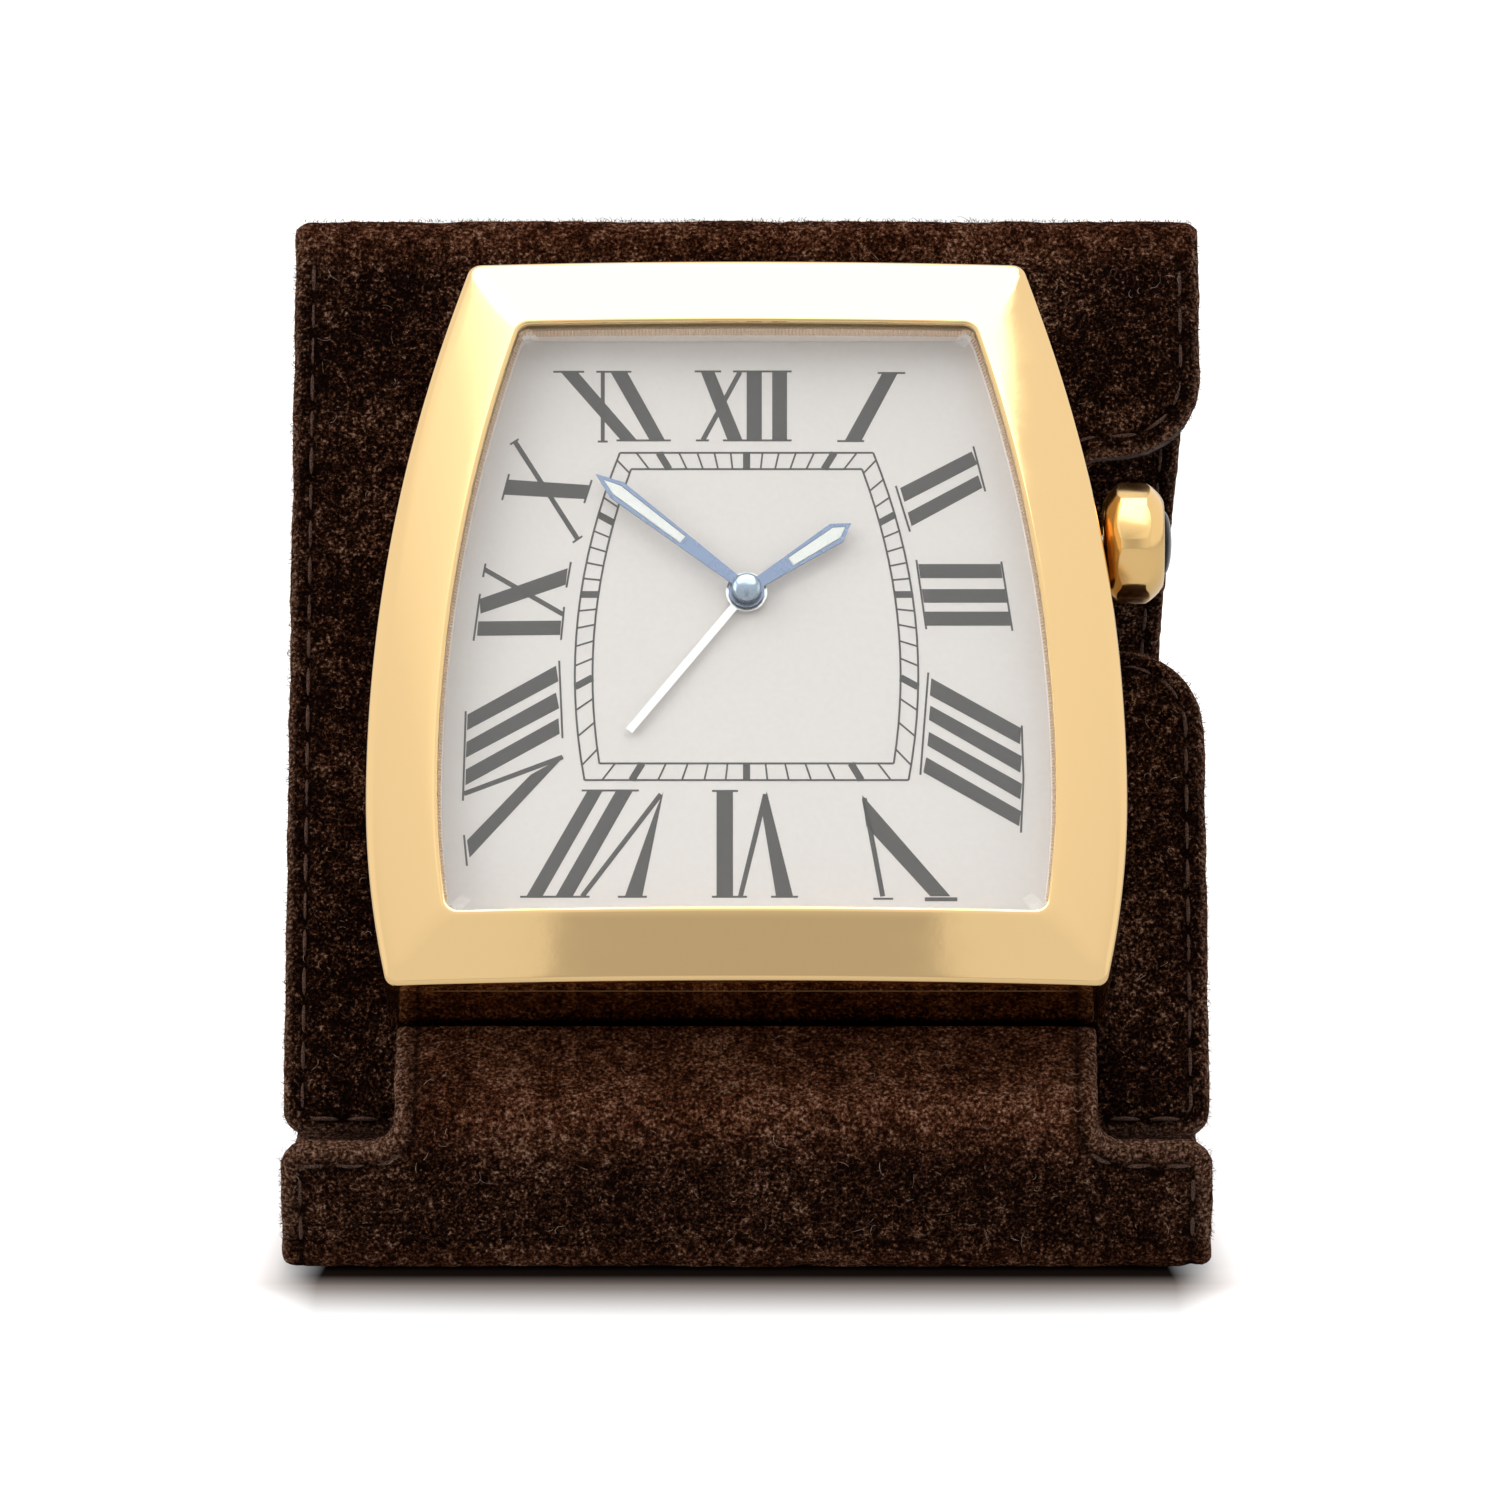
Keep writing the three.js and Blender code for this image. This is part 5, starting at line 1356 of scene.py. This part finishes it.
# %% Finishes of the frame's own pieces
own_finishes = {
    steel: ["case_back", *(f"back_screw_{i}" for i in range(1, 5)), "panel_screw_1", "panel_screw_2",
            "button_cell", "stem_yoke", "crown_stem"],
    brass: ["cell_contact", "buzzer_disc", "crown_tube", "cannon_pinion", "minute_wheel",
            "hour_wheel", "alarm_wheel"],
    blued: ["minute_hand", "hour_hand"],
    lume: ["minute_hand_lume", "hour_hand_lume"],
    silver: ["alarm_hand"],
    dial_lacquer: ["dial"],
    black_plastic: ["movement_housing"],
    white_plastic: ["movement_ring"],
    copper: ["motor_coil"],
    circuit: ["circuit_board"],
}
for material, names in own_finishes.items():
    for name in names:
        node = frame["nodes"][name]
        node.data.materials.clear()
        node.data.materials.append(material)
        print(name, "is", material.name)

# %% [markdown]
# Suede is never clean: short brown fibres stand along every cut edge and lie on the nap, and a few
# pale ones have come off. Each is a three-sided thread of three straight runs. They are drawn
# about 0.066 mm thick, twice as thick as real ones, as thinner ones would vanish between pixels.

# %% Loose fibres
FIBRE_POINTS, FIBRE_THICK, LONGEST = 4, 0.066, 2.8
PANEL_NAP, FOLD_NAP, TAB_NAP, LIP_NAP = 2600, 1600, 1300, 1500
PANEL_LINT, TAB_LINT, LIP_LINT = 110, 45, 60
wild = random.Random(7)


def fibres(name, finish, roots, place):
    """Threads from roots of (u, v, z, heading, lift, length), in flat millimetres."""
    verts, faces = [], []
    for u, v, z, heading, lift, length in roots:
        curl = wild.uniform(-1.6, 1.6)
        line = []
        for i in range(FIBRE_POINTS):
            t = i / (FIBRE_POINTS - 1)
            a = heading + curl * t
            line.append(Vector(place(
                u + math.cos(a) * length * t * 0.8, v + math.sin(a) * length * t * 0.8,
                z + lift * length * math.sin(t * math.pi * 0.6))))
        first = len(verts)
        for i, point in enumerate(line):
            ahead = line[min(i + 1, len(line) - 1)] - line[max(i - 1, 0)]
            side = ahead.cross(OUT)
            side = side.normalized() if side.length > 1e-9 else ACROSS
            other = ahead.normalized().cross(side)
            thick = FIBRE_THICK * MM / 2 * (1 - 0.6 * i / (FIBRE_POINTS - 1))
            for k in range(3):
                a = 2 * math.pi * k / 3
                verts.append(point + (side * math.cos(a) + other * math.sin(a)) * thick)
        for i in range(FIBRE_POINTS - 1):
            a, b = first + 3 * i, first + 3 * i + 3
            faces += [(a + k, a + (k + 1) % 3, b + (k + 1) % 3, b + k) for k in range(3)]
        last = first + 3 * (FIBRE_POINTS - 1)
        faces += [(first + 2, first + 1, first), (last, last + 1, last + 2)]
    mesh = bpy.data.meshes.new(name)
    mesh.from_pydata([tuple(v) for v in verts], [], faces)
    piece = bpy.data.objects.new(name, mesh)
    bpy.context.scene.collection.objects.link(piece)
    edit(piece)
    leave_outward()
    finish_piece(piece, finish, None, "suede", smooth_deg=180)
    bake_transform(piece)


def lying(count, u_range, v_range, z, shortest, mean, keep=lambda u, v: True):
    """Fibres lying loose on a face, most of them little longer than the shortest."""
    made = []
    while len(made) < count:
        u, v = wild.uniform(*u_range), wild.uniform(*v_range)
        if keep(u, v):
            made.append((u, v, z, wild.uniform(0, 2 * math.pi), wild.uniform(0.05, 0.35),
                         min(shortest + wild.expovariate(1 / mean), LONGEST)))
    return made


def fringe(path, z_range, spacing):
    """Short fibres that stand out from a cut edge whose body lies to the left of the path."""
    made = []
    for (u0, v0), (u1, v1) in zip(path, path[1:]):
        length = math.hypot(u1 - u0, v1 - v0)
        outward = math.atan2(-(u1 - u0), v1 - v0)
        for _ in range(int(length / spacing)):
            t = wild.random()
            made.append((u0 + (u1 - u0) * t - 0.25 * math.cos(outward),
                         v0 + (v1 - v0) * t - 0.25 * math.sin(outward),
                         wild.uniform(*z_range), outward + wild.uniform(-1.0, 1.0),
                         wild.uniform(-0.4, 0.4), wild.uniform(0.35, 0.9)))
    return made


def beside_case(u, v):
    """True on the panel's face where it is neither cut away nor behind the clock."""
    if u > NOTCH_FLOOR and abs(v - NOTCH_MIDDLE) < NOTCH_HALF + 0.6 * NOTCH_FLARE:
        return False
    return v < 5 or v > 87 or abs(u) > 36 - abs(v - 40) * 0.12


beyond_fold = (HALF_WIDTH, PANEL_HINGE + 4)
panel_edges = (
    [*panel_foot, *lower_lobe], notch, [*upper_lobe, beyond_fold],
    [*mirror([*panel_foot, beyond_fold]), panel_foot[0]])
roots = lying(PANEL_NAP, (-48, 48), (-0.5, 106), 0.0, 0.25, 0.25, beside_case)
for path in panel_edges:
    roots += fringe(path, (-2.9, -0.1), 0.14)
roots += [(wild.uniform(-48, 48), wild.uniform(97.5, 104), -0.05, wild.uniform(0, 2 * math.pi),
           wild.uniform(0.5, 1.1), wild.uniform(0.18, 0.42)) for _ in range(FOLD_NAP)]
lint = lying(PANEL_LINT, (-47, 47), (1, 104), 0.06, 0.6, 0.6, beside_case)
top_blend = ("holder", "rear_leg", round_top(0, PANEL_HINGE, -1.6),
             round_top(0, PANEL_HINGE + fold_long, -1.6))
fibres("panel_fibres", fibre_finish, roots, round_top)
fibres("panel_lint", lint_finish, lint, round_top)

tab_right = [(TAB_HALF, fold_start), *lip_side[1:]]
roots = lying(TAB_NAP, (-36, 36), (1, shoulder), HALF_BOARD, 0.25, 0.25)
roots += lying(LIP_NAP, (-48, 48), (shoulder + 0.5, lip_end - 1), HALF_BOARD, 0.25, 0.25)
roots += fringe(tab_right, (-1.4, 1.5), 0.1) + fringe(mirror(tab_right), (-1.4, 1.5), 0.1)
lint = lying(TAB_LINT, (-36, 36), (1, shoulder), HALF_BOARD + 0.06, 0.6, 0.6)
lint += lying(LIP_LINT, (-47, 47), (shoulder + 1, lip_end - 1), HALF_BOARD + 0.06, 0.6, 0.6)
fibres("lip_fibres", fibre_finish, roots, round_lip)
fibres("lip_lint", lint_finish, lint, round_lip)
